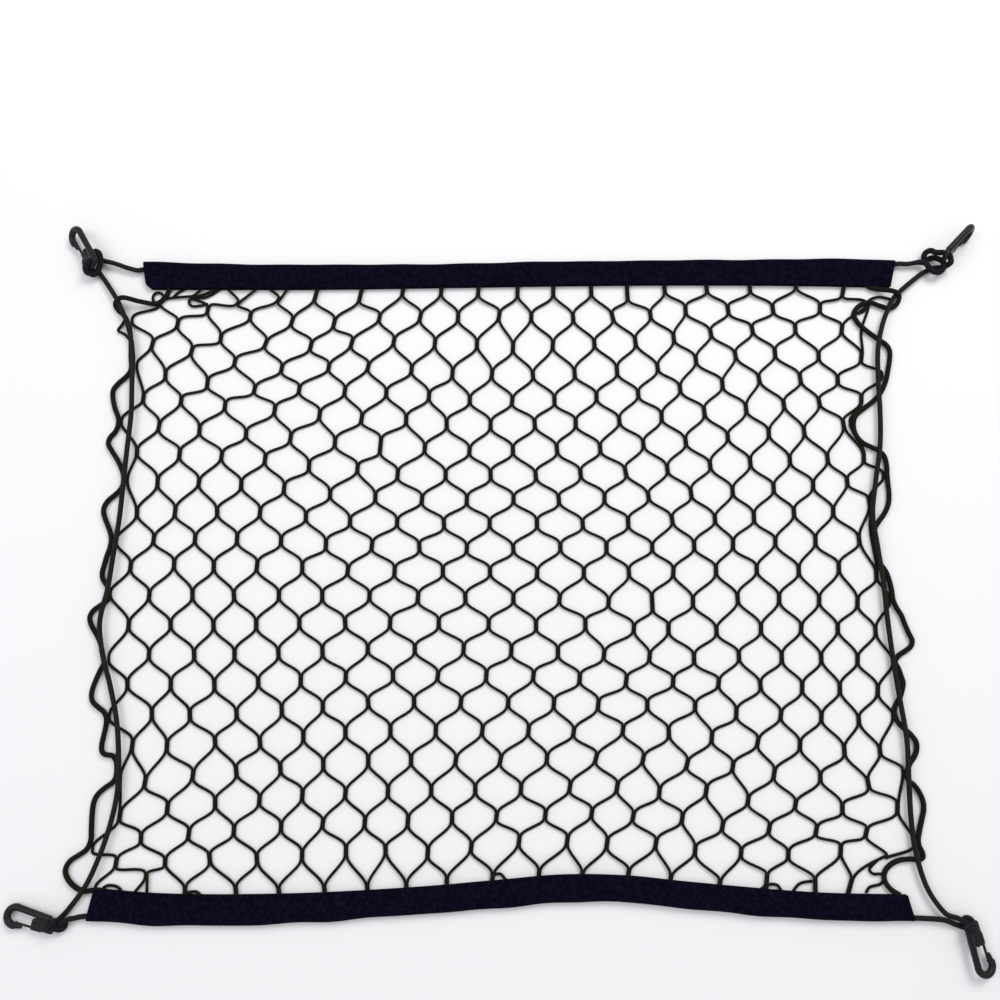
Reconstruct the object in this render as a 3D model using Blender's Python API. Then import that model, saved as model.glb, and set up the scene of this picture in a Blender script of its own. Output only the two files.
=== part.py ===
"""A cargo net laid out flat: a rectangle of knotless mesh with a heavier cord down each side,
a folded webbing sleeve along the top and the bottom, an elastic cord that runs through both
sleeves and over both sides, and at each corner a knot in that cord that holds a plastic snap hook.

Lengths are in millimetres and are turned into metres where a mesh or a curve is made.
X runs along the sleeves, Y from the bottom sleeve to the top one, and Z up from the surface
that the net lies on.
"""

import math

import bmesh
import bpy
from mathutils import Matrix, Vector

MM = 0.001

# The middle of the laid-out net's box, as the tables below count it.
BOX_MIDDLE = (4.36, 2.48)

# --- the mesh -------------------------------------------------------------------------------
# The mesh hangs in half steps: a bar stands at every second crossing of COLUMNS and ROWS.
COLUMNS = 26
ROWS = 16
STRAND_HEIGHT = 2.4
BAR_HALF_LENGTH = 5.5
BAR_HALF_WIDTH = 2.4
HIDDEN_BAR_HALF_LENGTH = 4.0
NOTCH_DEPTH = 1.2
# Inside the sleeves the strands lie on the lower layer of webbing.
RAISED = 1.5

# Places on the laid-out cloth: across it in 36ths (SURVEY_COLUMNS) and down it in 24ths.
SURVEY_COLUMNS = (-18, -12, -6, 0, 6, 12, 18)
SURVEY = (
    # row, then (x, y) at each of SURVEY_COLUMNS
    (-12, ((-397, 331), (-246, 331), (-112, 331), (8, 332), (130, 333), (258, 334), (405, 331))),
    (-8, ((-406, 260), (-269, 233), (-127, 231), (4, 223), (138, 230), (264, 247), (396, 245))),
    (-4, ((-408, 140), (-280, 133), (-138, 117), (5, 114), (145, 119), (277, 130), (385, 140))),
    (0, ((-413, 17), (-284, 19), (-143, 14), (5, 12), (148, 12), (279, 15), (388, 18))),
    (4, ((-411, -105), (-279, -103), (-144, -94), (1, -94), (142, -99), (278, -105), (394, -107))),
    (8, ((-406, -226), (-273, -218), (-143, -209), (-11, -206), (130, -205), (263, -219), (402, -225))),
    (12, ((-408, -314), (-268, -316), (-140, -314), (-19, -304), (113, -299), (249, -311), (392, -316))),
)

# --- the cord down each side of the mesh ----------------------------------------------------
EDGE_WIDTH = 4.6
EDGE_HEIGHT = 3.4
EDGE_HALF_STEP = 2.6
# Past here, up or down, the side cords are raised as the strands in the sleeves are.
EDGE_RAISED_Y = 280
EDGE_CORDS = (
    # row, left x, left y, right x, right y
    (1, -417, 297, 409, 300),
    (2, -420, 271, 393, 270),
    (3, -403, 237, 408, 240),
    (4, -421, 200, 402, 206),
    (5, -415, 160, 370, 170),
    (6, -407, 112, 397, 120),
    (7, -421, 66, 390, 72),
    (8, -418, 20, 384, 28),
    (9, -428, -30, 399, -20),
    (10, -414, -76, 409, -64),
    (11, -423, -120, 395, -116),
    (12, -411, -165, 411, -165),
    (13, -401, -205, 405, -207),
    (14, -416, -250, 408, -250),
    (15, -434, -288, 377, -290),
)

# --- the folded webbing ---------------------------------------------------------------------
SLEEVE_STATIONS = 27
WEBBING = 1.2
SLEEVE_WIDTH = 30.0
FOLD_RADIUS = 4.4
FOLD_STEPS = 5
OPEN_EDGE_GAP = 3.0
TOP_SLEEVE = (
    # fold x, fold y, open edge x, open edge y
    (-395, 348, -378, 318),
    (-344, 347, -345, 318),
    (-205, 345, -205, 318),
    (-68, 346, -68, 320),
    (60, 349, 60, 322),
    (198, 350, 198, 323),
    (337, 352, 337, 322),
    (419, 350, 413, 320),
)
BOTTOM_SLEEVE = (
    # fold x, fold y, open edge x, open edge y
    (-415, -331, -410, -301),
    (-344, -335, -342, -306),
    (-218, -334, -218, -306),
    (-94, -325, -94, -300),
    (-9, -319, -9, -293),
    (54, -314, 54, -288),
    (117, -314, 117, -289),
    (179, -320, 179, -295),
    (304, -330, 304, -305),
    (398, -332, 393, -307),
)

# --- the elastic cord -----------------------------------------------------------------------
CORD_RADIUS = 2.4
CORD_STEP = 14.4
KNOT_STEP = 3.4
# Past a knot's end: the gap to it, then how far the next cord runs straight on.
LEADS = (0.3, 1.8, 3.6)
SLEEVE_LEAD = 2.5
CORD_IN_SLEEVE_Z = 4.4
OVER_MESH_Z = 6.6
LEFT_CORD = (
    (-420, 303), (-412, 286), (-406, 270), (-401, 245), (-400, 213), (-399, 180), (-401, 144), (-403, 106),
    (-405, 68), (-409, 31), (-413, -6), (-419, -40), (-414, -73), (-405, -102), (-396, -138),
    (-392, -172), (-391, -206), (-397, -242), (-407, -274), (-418, -299),
)
RIGHT_CORD = (
    (414, 306), (408, 294), (402, 280), (395, 252), (393, 218), (393, 182), (391, 146), (384, 106),
    (379, 72), (382, 40), (386, 2), (388, -36), (393, -78), (399, -118), (402, -158),
    (400, -198), (400, -236), (403, -268), (411, -298),
)

# Each corner's overhand knot, from above. It crosses itself three times, over and under in turn.
LOW = 2.6
HIGH = 8.9
# Under the hooks that lie flat: in the knot's own frame, up to the loop and on from it.
FLAT_KNOT_START = (
    # x, y, z
    (-18.5, 0.2, 7.0),
    (-13.2, 1.0, 8.5),
    (-8.7, 1.9, HIGH),
    (-2.2, 2.9, 5.9),
    (5.5, 2.2, LOW),
)
FLAT_KNOT_FINISH = (
    # x, y, z
    (-3.3, -7.3, HIGH),
    (-7.3, -2.7, 5.7),
    (-8.7, 1.9, LOW),
    (-10.9, 6.5, 2.8),
    (-9.3, 10.9, 4.2),
    (-4.4, 12.8, 5.6),
    (1.1, 10.9, 7.0),
    (4.6, 6.5, 8.4),
    (5.5, 2.2, HIGH),
    (2.9, -2.7, 5.9),
    (-3.3, -7.3, LOW),
    (-9.0, -9.6, LOW),
    (-15.0, -12.0, 2.8),
)
# The loop up through a flat hook's eye and back, measured from the eye: out along the ground,
# and back over the hook.
FLAT_LOOP_OUT = (
    # away from the knot, aside, height from the ground
    (-5.6, 2.6, 2.55),
    (-2.0, 1.2, 2.9),
)
FLAT_LOOP_BACK = (
    # away from the knot, aside, height from the middle of the hook's thickness
    (-1.8, -1.2, 5.2),
    (-5.8, -2.6, 5.4),
)
# Under the hooks that stand on edge: from the knot's middle, up to the eye and on from it.
TOP_LEFT_START = (
    # x, y, z
    (18.5, 3.6, 7.0),
    (12.1, 6.0, 8.0),
    (6.5, 5.9, 8.2),
    (0.7, 4.2, 6.5),
    (-5.2, 2.1, 4.0),
    (-8.8, -1.5, LOW),
    (-9.0, -6.8, 3.5),
    (-4.5, -12.0, 5.5),
    (1.0, -12.2, 8.0),
    (4.4, -8.1, HIGH),
    (6.0, -1.0, 6.0),
    (6.0, 6.3, LOW),
    (8.4, 12.0, 4.4),
    (8.0, 15.6, 8.5),
    (7.8, 11.6, 12.2),
)
TOP_LEFT_FINISH = (
    # x, y, z
    (-5.6, 1.6, 19.2),
    (-9.4, 1.2, 16.0),
    (-10.8, -0.2, 12.0),
    (-8.8, -1.5, HIGH),
    (-5.0, -4.0, 8.3),
    (-1.4, -5.4, 6.0),
    (3.8, -7.2, LOW),
    (7.5, -10.7, 2.8),
    (11.1, -15.5, 3.4),
)
TOP_RIGHT_START = (
    # x, y, z
    (-18.5, 0.2, 7.0),
    (-13.2, 1.0, 8.5),
    (-8.7, 1.9, HIGH),
    (-2.2, 2.9, 5.9),
    (5.5, 2.2, LOW),
    (11.2, 0.2, 3.0),
    (13.4, -4.4, 4.6),
    (10.8, -9.6, 6.6),
    (4.6, -12.0, 8.4),
    (-3.3, -7.3, HIGH),
    (-7.3, -2.7, 5.7),
    (-8.7, 1.9, LOW),
    (-10.9, 6.5, 2.8),
    (-9.3, 10.9, 4.2),
    (-5.0, 12.9, 7.6),
    (-0.8, 12.7, 11.4),
)
TOP_RIGHT_FINISH = (
    # x, y, z
    (12.6, 2.0, 19.2),
    (13.2, -1.0, 16.6),
    (11.4, -2.2, 13.2),
    (8.6, -0.4, 10.4),
    (5.5, 1.8, HIGH),
    (2.9, -2.7, 5.9),
    (-3.3, -7.3, LOW),
    (-9.0, -9.6, LOW),
    (-15.0, -12.0, 2.8),
)
# The cord goes straight through the middle of each eye for this far on either side.
EYE_RUN = 3.4

KNOTS = {
    # place: knot x, knot y, turn, size, its line up to the eye and on from it
    "top_left": (-447, 343, 0, 1.0, TOP_LEFT_START, TOP_LEFT_FINISH),
    "top_right": (462, 347, 0, 1.0, TOP_RIGHT_START, TOP_RIGHT_FINISH),
    "bottom_left": (-437.5, -332.7, 205, 0.87, FLAT_KNOT_START, FLAT_KNOT_FINISH),
    "bottom_right": (442, -331, -25, 0.87, FLAT_KNOT_START, FLAT_KNOT_FINISH),
}

# --- the snap hooks -------------------------------------------------------------------------
HOOK_THICKNESS = 4.8
HOOK_EDGE = 0.7
EYE_X = 6.2
EYE_RADIUS = 3.4
EYE_STEPS = 12
RING_X = 42.0
RING_OUTER = 12.5
SLOT_END_X = 39.8
SLOT_END_RADIUS = 6.4
RING_STEPS = 10

HOOKS = {
    # place: eye x, y, z, the way it points, pitch, lean (0 stands upright, -90 lies flat),
    # and the side of the eye that the cord comes in by
    "top_left": (-446.6, 346.4, 17.6, 124, -10, -38, 1),
    "top_right": (470.1, 353.5, 18.1, 43.5, -10, 30, -1),
    "bottom_left": (-450.4, -335.0, 8.0, 166.4, -6.3, -90, 1),
    "bottom_right": (454.4, -337.6, 9.0, -71, -0.5, -70, 1),
}

CORD_COLOUR = (0.016, 0.014, 0.011)
WEBBING_COLOUR = (0.007, 0.005, 0.014)
ELASTIC_COLOUR = (0.020, 0.018, 0.013)
PLASTIC_COLOUR = (0.030, 0.028, 0.031)


def clear_scene():
    for thing in list(bpy.data.objects):
        bpy.data.objects.remove(thing, do_unlink=True)


def material(name, colour, roughness):
    made = bpy.data.materials.new(name)
    made.use_nodes = True
    shader = made.node_tree.nodes["Principled BSDF"]
    shader.inputs["Base Color"].default_value = (*colour, 1.0)
    shader.inputs["Roughness"].default_value = roughness
    shader.inputs["Metallic"].default_value = 0.0
    return made


def metres(x, y, z):
    """A place in the tables' millimetres, in the part's own metres."""
    return ((x - BOX_MIDDLE[0]) * MM, (y - BOX_MIDDLE[1]) * MM, z * MM)


def add_mesh(name, points, faces, surface):
    """One closed mesh from points in millimetres."""
    mesh = bpy.data.meshes.new(name)
    mesh.from_pydata([metres(*point) for point in points], [], faces)
    mesh.materials.append(surface)
    mesh.validate()
    thing = bpy.data.objects.new(name, mesh)
    bpy.context.scene.collection.objects.link(thing)
    return thing


def between(before, start, end, after, share):
    """A place on the smooth curve from start to end, which leans on the points on either side."""
    a, b, c, d = (Vector(point) for point in (before, start, end, after))
    knots = [0.0]
    for first, second in ((a, b), (b, c), (c, d)):
        knots.append(knots[-1] + max((second - first).length, 1e-6) ** 0.5)
    t = knots[1] + share * (knots[2] - knots[1])

    def mix(p, q, low, high):
        return p * ((high - t) / (high - low)) + q * ((t - low) / (high - low))

    ab = mix(a, b, knots[0], knots[1])
    bc = mix(b, c, knots[1], knots[2])
    cd = mix(c, d, knots[2], knots[3])
    abc = mix(ab, bc, knots[0], knots[2])
    bcd = mix(bc, cd, knots[1], knots[3])
    return mix(abc, bcd, knots[1], knots[2])


def smooth_at(points, place):
    """The smooth curve through points, read at place, which counts them from 0."""
    last = len(points) - 1
    index = min(int(place), last - 1)
    points = [Vector(point) for point in points]
    start, end = points[index], points[index + 1]
    before = points[index - 1] if index else start * 2 - end
    after = points[index + 2] if index + 2 <= last else end * 2 - start
    return between(before, start, end, after, place - index)


def evenly(points, step):
    """Points about step apart along the smooth curve through points."""
    fine = [smooth_at(points, n / 12) for n in range(12 * (len(points) - 1) + 1)]
    reach = [0.0]
    for first, second in zip(fine, fine[1:]):
        reach.append(reach[-1] + (second - first).length)
    count = max(2, round(reach[-1] / step))
    chosen = []
    at = 0
    for n in range(count + 1):
        wanted = reach[-1] * n / count
        while at < len(fine) - 2 and reach[at + 1] < wanted:
            at += 1
        share = (wanted - reach[at]) / (reach[at + 1] - reach[at])
        chosen.append(fine[at].lerp(fine[at + 1], share))
    return chosen


def add_tube(name, points, surface):
    """A round cord along points, with flat ends."""
    curve = bpy.data.curves.new(name, "CURVE")
    curve.dimensions = "3D"
    curve.bevel_depth = CORD_RADIUS * MM
    curve.bevel_resolution = 2
    curve.use_fill_caps = True
    spline = curve.splines.new("POLY")
    spline.points.add(len(points) - 1)
    for held, point in zip(spline.points, points):
        held.co = (*metres(*point), 1.0)
    spline.use_smooth = True
    curve.materials.append(surface)
    thing = bpy.data.objects.new(name, curve)
    bpy.context.scene.collection.objects.link(thing)
    return thing


class Plate:
    """A flat net of faces, drawn from above, that becomes one closed solid."""

    def __init__(self):
        self.corners = []
        self.faces = []

    def corner(self, x, y, low, high):
        self.corners.append((x, y, low, high))
        return len(self.corners) - 1

    def face(self, *corners):
        """A face, its corners counter-clockwise from above."""
        self.faces.append(corners)

    def solid(self, name, surface):
        count = len(self.corners)
        points = [(x, y, high) for x, y, low, high in self.corners]
        points += [(x, y, low) for x, y, low, high in self.corners]
        sides = set()
        for face in self.faces:
            sides.update(zip(face, face[1:] + face[:1]))
        faces = list(self.faces)
        faces += [tuple(corner + count for corner in reversed(face)) for face in self.faces]
        for start, end in sorted(sides):
            if (end, start) not in sides:
                faces.append((end, start, start + count, end + count))
        return add_mesh(name, points, faces, surface)


def cloth_at(column, row):
    """The laid-out mesh's place at a column and a row of its half steps."""
    across = column * (len(SURVEY_COLUMNS) - 1) / COLUMNS
    down = row * (len(SURVEY) - 1) / ROWS
    lines = [[Vector((x, y, 0)) for x, y in places] for _, places in SURVEY]
    return smooth_at([smooth_at(line, across) for line in lines], down)


def bar(plate, column, row):
    """The short upright bar where two strands run side by side."""
    middle = cloth_at(column, row)
    above = cloth_at(column, max(row - 0.5, 0))
    below = cloth_at(column, min(row + 0.5, ROWS))
    up = (above - below).normalized()
    right = Vector((up.y, -up.x, 0))
    hidden = row in (0, ROWS)
    low = RAISED if row <= 1 or row >= ROWS - 1 else 0.0
    high = low + STRAND_HEIGHT
    length = HIDDEN_BAR_HALF_LENGTH if hidden else BAR_HALF_LENGTH

    def place(across, along):
        spot = middle + right * across + up * along
        return plate.corner(spot.x, spot.y, low, high)

    ends = {
        "upper_left": place(-BAR_HALF_WIDTH, length),
        "upper_right": place(BAR_HALF_WIDTH, length),
        "lower_left": place(-BAR_HALF_WIDTH, -length),
        "lower_right": place(BAR_HALF_WIDTH, -length),
        "top": place(0, length + NOTCH_DEPTH),
        "bottom": place(0, -length - NOTCH_DEPTH),
    }
    order = ("lower_left", "bottom", "lower_right", "upper_right", "top", "upper_left")
    plate.face(*(ends[key] for key in order))
    return ends


def edge_point(side, row):
    """A place on the cord down one side (-1 left, 1 right), and the way down it there."""
    route = [Vector((left_x, left_y, 0)) if side < 0 else Vector((right_x, right_y, 0))
             for _, left_x, left_y, right_x, right_y in EDGE_CORDS]
    place = row - EDGE_CORDS[0][0]
    step = 0.1
    down = smooth_at(route, min(place + step, len(route) - 1)) - smooth_at(route, max(place - step, 0))
    return smooth_at(route, place), down.normalized()


def edge_corners(plate, side, middle, down):
    """The outer and the inner corner of the side cord at one place."""
    outward = Vector((down.y, -down.x, 0)) * side * -1
    low = RAISED if abs(middle.y) > EDGE_RAISED_Y else 0.0
    outer = middle + outward * EDGE_WIDTH / 2
    inner = middle - outward * EDGE_WIDTH / 2
    return (plate.corner(outer.x, outer.y, low, EDGE_HEIGHT),
            plate.corner(inner.x, inner.y, low, EDGE_HEIGHT))


def edge_bar(plate, side, row):
    """Where the strands of the mesh join the cord down one side."""
    middle, down = edge_point(side, row)
    outward = Vector((down.y, -down.x, 0)) * side * -1
    outer_top, inner_top = edge_corners(plate, side, middle - down * EDGE_HALF_STEP, down)
    outer_foot, inner_foot = edge_corners(plate, side, middle + down * EDGE_HALF_STEP, down)
    tip = middle - outward * (EDGE_WIDTH / 2 + NOTCH_DEPTH)
    low = RAISED if row in (1, ROWS - 1) else 0.0
    inner = plate.corner(tip.x, tip.y, low, EDGE_HEIGHT)
    order = (outer_top, outer_foot, inner_foot, inner, inner_top)
    plate.face(*(order if side < 0 else reversed(order)))
    ends = {"top": inner_top, "bottom": inner_foot, "cord_top": (outer_top, inner_top),
            "cord_foot": (outer_foot, inner_foot)}
    inner_keys = ("upper_right", "lower_right") if side < 0 else ("upper_left", "lower_left")
    ends.update({key: inner for key in inner_keys})
    return ends


def build_mesh(surface):
    """The whole mesh with its side cords, as one piece of knotless cord."""
    plate = Plate()
    bars = {}
    for row in range(ROWS + 1):
        for column in range(COLUMNS + 1):
            if (column + row) % 2 == 0:
                continue
            if column in (0, COLUMNS):
                bars[column, row] = edge_bar(plate, -1 if column == 0 else 1, row)
            else:
                bars[column, row] = bar(plate, column, row)
    for (column, row), start in bars.items():
        right = bars.get((column + 1, row + 1))
        left = bars.get((column - 1, row + 1))
        if right:
            plate.face(start["lower_right"], start["bottom"], right["upper_left"], right["top"])
        if left:
            plate.face(start["bottom"], start["lower_left"], left["top"], left["upper_right"])
    for side, column in ((-1, 0), (1, COLUMNS)):
        for row in range(1, ROWS - 1, 2):
            sections = [bars[column, row]["cord_foot"]]
            for part in (0.5, 1.0, 1.5):
                middle, down = edge_point(side, row + part)
                sections.append(edge_corners(plate, side, middle, down))
            sections.append(bars[column, row + 2]["cord_top"])
            for (outer, inner), (next_outer, next_inner) in zip(sections, sections[1:]):
                quad = (inner, outer, next_outer, next_inner)
                plate.face(*(quad if side < 0 else reversed(quad)))
    return plate.solid("net", surface)


def sleeve_section():
    """The folded webbing across its width: (from the fold, height) pairs in order."""
    outer = []
    inner = []
    for step in range(FOLD_STEPS + 1):
        turn = math.radians(-90 - 180 * step / FOLD_STEPS)
        outer.append((FOLD_RADIUS * (1 + math.cos(turn)), FOLD_RADIUS * (1 + math.sin(turn))))
        hollow = FOLD_RADIUS - WEBBING
        inner.append((FOLD_RADIUS + hollow * math.cos(turn), FOLD_RADIUS + hollow * math.sin(turn)))
    top = WEBBING + OPEN_EDGE_GAP
    open_edge_outer = (SLEEVE_WIDTH, top + WEBBING)
    open_edge_inner = (SLEEVE_WIDTH, top)
    lower_inner = (SLEEVE_WIDTH, WEBBING)
    lower_outer = (SLEEVE_WIDTH, 0.0)
    return [lower_outer, *outer, open_edge_outer, open_edge_inner, *reversed(inner), lower_inner]


def sleeve_stations(table):
    """The fold and the open edge of a sleeve at even steps along it."""
    stations = []
    for n in range(SLEEVE_STATIONS):
        place = (len(table) - 1) * n / (SLEEVE_STATIONS - 1)
        fold = smooth_at([(fold_x, fold_y, 0) for fold_x, fold_y, _, _ in table], place)
        edge = smooth_at([(edge_x, edge_y, 0) for _, _, edge_x, edge_y in table], place)
        stations.append((fold, edge))
    return stations


def build_sleeve(name, table, surface):
    """A length of webbing folded over the elastic cord and the end bars of the mesh."""
    section = sleeve_section()
    points = []
    for fold, edge in sleeve_stations(table):
        across = (edge - fold) / SLEEVE_WIDTH
        for reach, height in section:
            place = fold + across * reach
            points.append((place.x, place.y, height))
    count = len(section)
    faces = [tuple(range(count)), tuple(reversed(range(len(points) - count, len(points))))]
    for first in range(0, len(points) - count, count):
        for n in range(count):
            after = (n + 1) % count
            faces.append((first + n, first + count + n, first + count + after, first + after))
    thing = add_mesh(name, points, faces, surface)
    edit = bmesh.new()
    edit.from_mesh(thing.data)
    bmesh.ops.recalc_face_normals(edit, faces=edit.faces)
    edit.to_mesh(thing.data)
    edit.free()
    return thing


def cord_in_sleeve(table):
    """The elastic cord's own line inside a sleeve, which is as straight as the webbing's steps."""
    share = FOLD_RADIUS / SLEEVE_WIDTH
    line = []
    for fold, edge in sleeve_stations(table):
        place = fold.lerp(edge, share)
        place.z = CORD_IN_SLEEVE_Z
        if line:
            line.append(line[-1].lerp(place, 0.5))
        line.append(place)
    return line


class Corner:
    """One corner: where its knot lies, and where its hook's eye is and how the hook is turned."""

    def __init__(self, knot, hook):
        x, y, turn, self.size, self.start, self.finish = knot
        eye_x, eye_y, eye_z, direction, pitch, lean, self.entry = hook
        self.middle = Vector((x, y, 0))
        self.turn = Matrix.Rotation(math.radians(turn), 3, "Z")
        self.eye = Vector((eye_x, eye_y, eye_z))
        self.direction = math.radians(direction)
        self.pitch = math.radians(pitch)
        self.lean = math.radians(lean)

    def out(self, point):
        """A place in the knot's own frame, in the net's frame."""
        x, y, z = point
        return self.middle + self.turn @ Vector((x * self.size, y * self.size, z))

    def by_eye(self, point, over_hook=False):
        """A place away from the knot and aside, measured from the eye, at a height from the
        ground or from the middle of the hook's thickness."""
        away, aside, height = point
        line = self.eye - self.middle
        line.z = 0
        line.normalize()
        place = Vector((line.x * away - line.y * aside, line.y * away + line.x * aside, 0))
        if over_hook:
            face = self.hook_frame().col[2]
            height = self.eye.z - (height + face.dot(place)) / face.z
        return Vector((self.eye.x + place.x, self.eye.y + place.y, height))

    def hook_frame(self):
        """The hook's own axes: along it, across it towards its spine, and through it."""
        level = Vector((math.cos(self.direction), math.sin(self.direction), 0))
        along = level * math.cos(self.pitch) + Vector((0, 0, math.sin(self.pitch)))
        aside = Vector((level.y, -level.x, 0))
        face = aside * math.cos(self.lean) + Vector((0, 0, math.sin(self.lean)))
        face = (face - along * face.dot(along)).normalized()
        across = face.cross(along)
        return Matrix((along, across, along.cross(across))).transposed()

    def knot(self):
        """The whole knot's line, from the end at its sleeve to the end at its side."""
        start = [self.out(point) for point in self.start]
        finish = [self.out(point) for point in self.finish]
        if self.start is FLAT_KNOT_START:
            start += [self.by_eye(point) for point in FLAT_LOOP_OUT]
            finish = [self.by_eye(point, over_hook=True) for point in FLAT_LOOP_BACK] + finish
        run = self.hook_frame().col[2] * EYE_RUN * self.entry
        return start + [self.eye + run, self.eye, self.eye - run] + finish


def arc(middle_x, radius, start, end, steps):
    """Points on an arc about (middle_x, 0), from start to end degrees."""
    points = []
    for step in range(steps + 1):
        turn = math.radians(start + (end - start) * step / steps)
        points.append((middle_x + radius * math.cos(turn), radius * math.sin(turn)))
    return points


def hook_outline():
    """The hook seen square on, from the eye end round by the gate to the eye end again.

    The first list runs along the gate's side to the slot's narrow end, and the second along
    the spine's inner side, round the ring with its nose, and back along the spine.
    """
    gate_side = arc(EYE_X, 6.2, 180, 250, 3) + [
        (9.0, -7.6), (14.0, -8.4), (17.6, -7.9), (20.6, -6.6),
        (24.0, -6.6), (33.0, -6.7), (40.0, -6.5),
        (40.9, -5.7), (40.6, -4.8), (39.4, -4.4),
        (24.6, -4.5),
        (24.2, -2.6), (23.4, 0.4), (21.2, 2.2), (17.8, 3.2),
    ]
    ring_side = [(18.0, 4.6)] + arc(SLOT_END_X, SLOT_END_RADIUS, 92, -60, 9) + [
        (42.2, -7.1), (32.0, -7.3),
        (31.2, -8.2), (31.4, -9.6),
    ] + arc(RING_X, RING_OUTER, -102, 94, RING_STEPS) + [
        (7.6, 9.7), (3.6, 8.6), (1.0, 5.6), (0.1, 2.6),
    ]
    return gate_side, ring_side


def build_hook(name, corner, surface):
    """A snap hook in one moulding: base with an eye, spine, ring, nose and springy gate."""
    gate_side, ring_side = hook_outline()
    outline = gate_side + ring_side
    eye = arc(EYE_X, EYE_RADIUS, 180, -180 + 360 / EYE_STEPS, EYE_STEPS - 1)
    flat = outline + eye
    hole = len(outline)
    count = len(flat)
    half = EYE_STEPS // 2
    narrow = len(gate_side) - 1
    upper_half = (*range(narrow, len(outline)), 0, *(hole + n for n in range(half + 1)))
    lower_half = (*range(narrow + 1), hole + half,
                  *(hole + n for n in range(half + 1, EYE_STEPS)), hole)
    mesh = bpy.data.meshes.new(name)
    edit = bmesh.new()
    levels = []
    for height in (HOOK_THICKNESS / 2, -HOOK_THICKNESS / 2):
        levels.append([edit.verts.new((x * MM, y * MM, height * MM)) for x, y in flat])
    edit.faces.new([levels[0][n] for n in upper_half])
    edit.faces.new([levels[0][n] for n in lower_half])
    edit.faces.new([levels[1][n] for n in reversed(upper_half)])
    edit.faces.new([levels[1][n] for n in reversed(lower_half)])
    rims = [list(range(hole)), list(range(hole, count))]
    for rim in rims:
        for start, end in zip(rim, rim[1:] + rim[:1]):
            edit.faces.new((levels[0][start], levels[1][start], levels[1][end], levels[0][end]))
    bmesh.ops.recalc_face_normals(edit, faces=edit.faces)
    rounded = [edge for edge in edit.edges
               if abs(edge.verts[0].co.z - edge.verts[1].co.z) < MM / 100
               and edge.calc_face_angle(0.0) > math.radians(45)]
    bmesh.ops.bevel(edit, geom=rounded, offset=HOOK_EDGE * MM, segments=1, affect="EDGES",
                    clamp_overlap=True)
    edit.to_mesh(mesh)
    edit.free()
    mesh.materials.append(surface)
    mesh.shade_smooth()
    mesh.set_sharp_from_angle(angle=math.radians(40))
    thing = bpy.data.objects.new(name, mesh)
    frame = corner.hook_frame()
    base = corner.eye - frame @ Vector((EYE_X, 0, 0))
    thing.matrix_world = Matrix.Translation(metres(*base)) @ frame.to_4x4()
    bpy.context.scene.collection.objects.link(thing)
    return thing


def beyond(knot, end, distance):
    """A place past one end of a knot's line, straight on."""
    last, before = (knot[0], knot[1]) if end == "sleeve" else (knot[-1], knot[-2])
    return last + (last - before).normalized() * distance


def build_cords(corners, surface):
    """The elastic cord: a knot at each corner and a run between each pair of them."""
    knots = {}
    for place, corner in corners.items():
        knots[place] = evenly(corner.knot(), KNOT_STEP)
        add_tube(f"knot_{place}", knots[place], surface)

    def leads(place, end):
        return [beyond(knots[place], end, reach) for reach in LEADS]

    def run_over_mesh(name, first, first_end, second, second_end, table):
        start, after_start, lead_in = leads(first, first_end)
        finish, before_finish, lead_out = leads(second, second_end)
        middle = [Vector((x, y, OVER_MESH_Z)) for x, y in table]
        line = evenly([after_start, lead_in, *middle, lead_out, before_finish], CORD_STEP)
        add_tube(name, [start, *line, finish], surface)

    def run_to_sleeve(place, end, mouth, inside):
        start, after_start, lead_in = leads(place, end)
        before = mouth + (mouth - inside).normalized() * SLEEVE_LEAD
        return [start, *evenly([after_start, lead_in, before, mouth], CORD_STEP)]

    def run_in_sleeve(name, first, first_end, second, second_end, table):
        middle = cord_in_sleeve(table)
        into = run_to_sleeve(first, first_end, middle[0], middle[1])
        out = run_to_sleeve(second, second_end, middle[-1], middle[-2])
        add_tube(name, [*into, *middle[1:-1], *reversed(out)], surface)

    run_in_sleeve("bungee_top", "top_left", "sleeve", "top_right", "sleeve", TOP_SLEEVE)
    run_in_sleeve("bungee_bottom", "bottom_left", "sleeve", "bottom_right", "side", BOTTOM_SLEEVE)
    run_over_mesh("bungee_left", "top_left", "side", "bottom_left", "side", LEFT_CORD)
    run_over_mesh("bungee_right", "top_right", "side", "bottom_right", "sleeve", RIGHT_CORD)


def main():
    clear_scene()
    cord = material("mesh cord", CORD_COLOUR, 0.85)
    webbing = material("webbing", WEBBING_COLOUR, 0.8)
    elastic = material("elastic cord", ELASTIC_COLOUR, 0.75)
    plastic = material("hook plastic", PLASTIC_COLOUR, 0.42)
    corners = {place: Corner(KNOTS[place], HOOKS[place]) for place in KNOTS}
    build_mesh(cord)
    build_sleeve("sleeve_top", TOP_SLEEVE, webbing)
    build_sleeve("sleeve_bottom", BOTTOM_SLEEVE, webbing)
    build_cords(corners, elastic)
    for place, corner in corners.items():
        build_hook(f"hook_{place}", corner, plastic)


main()
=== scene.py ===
"""Looks for a cargo net laid out flat: knotless mesh with a side cord down each edge, two folded
webbing sleeves, an elastic cord round it, and a knot and a plastic snap hook at each corner.

The tables are in millimetres on the laid-out net, or in pixels of the photograph where they
were read off it; both become metres in the frame's own axes where a mesh is made.
"""

import contextlib
import math
import random
import bpy
from mathutils import Matrix, Vector


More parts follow.
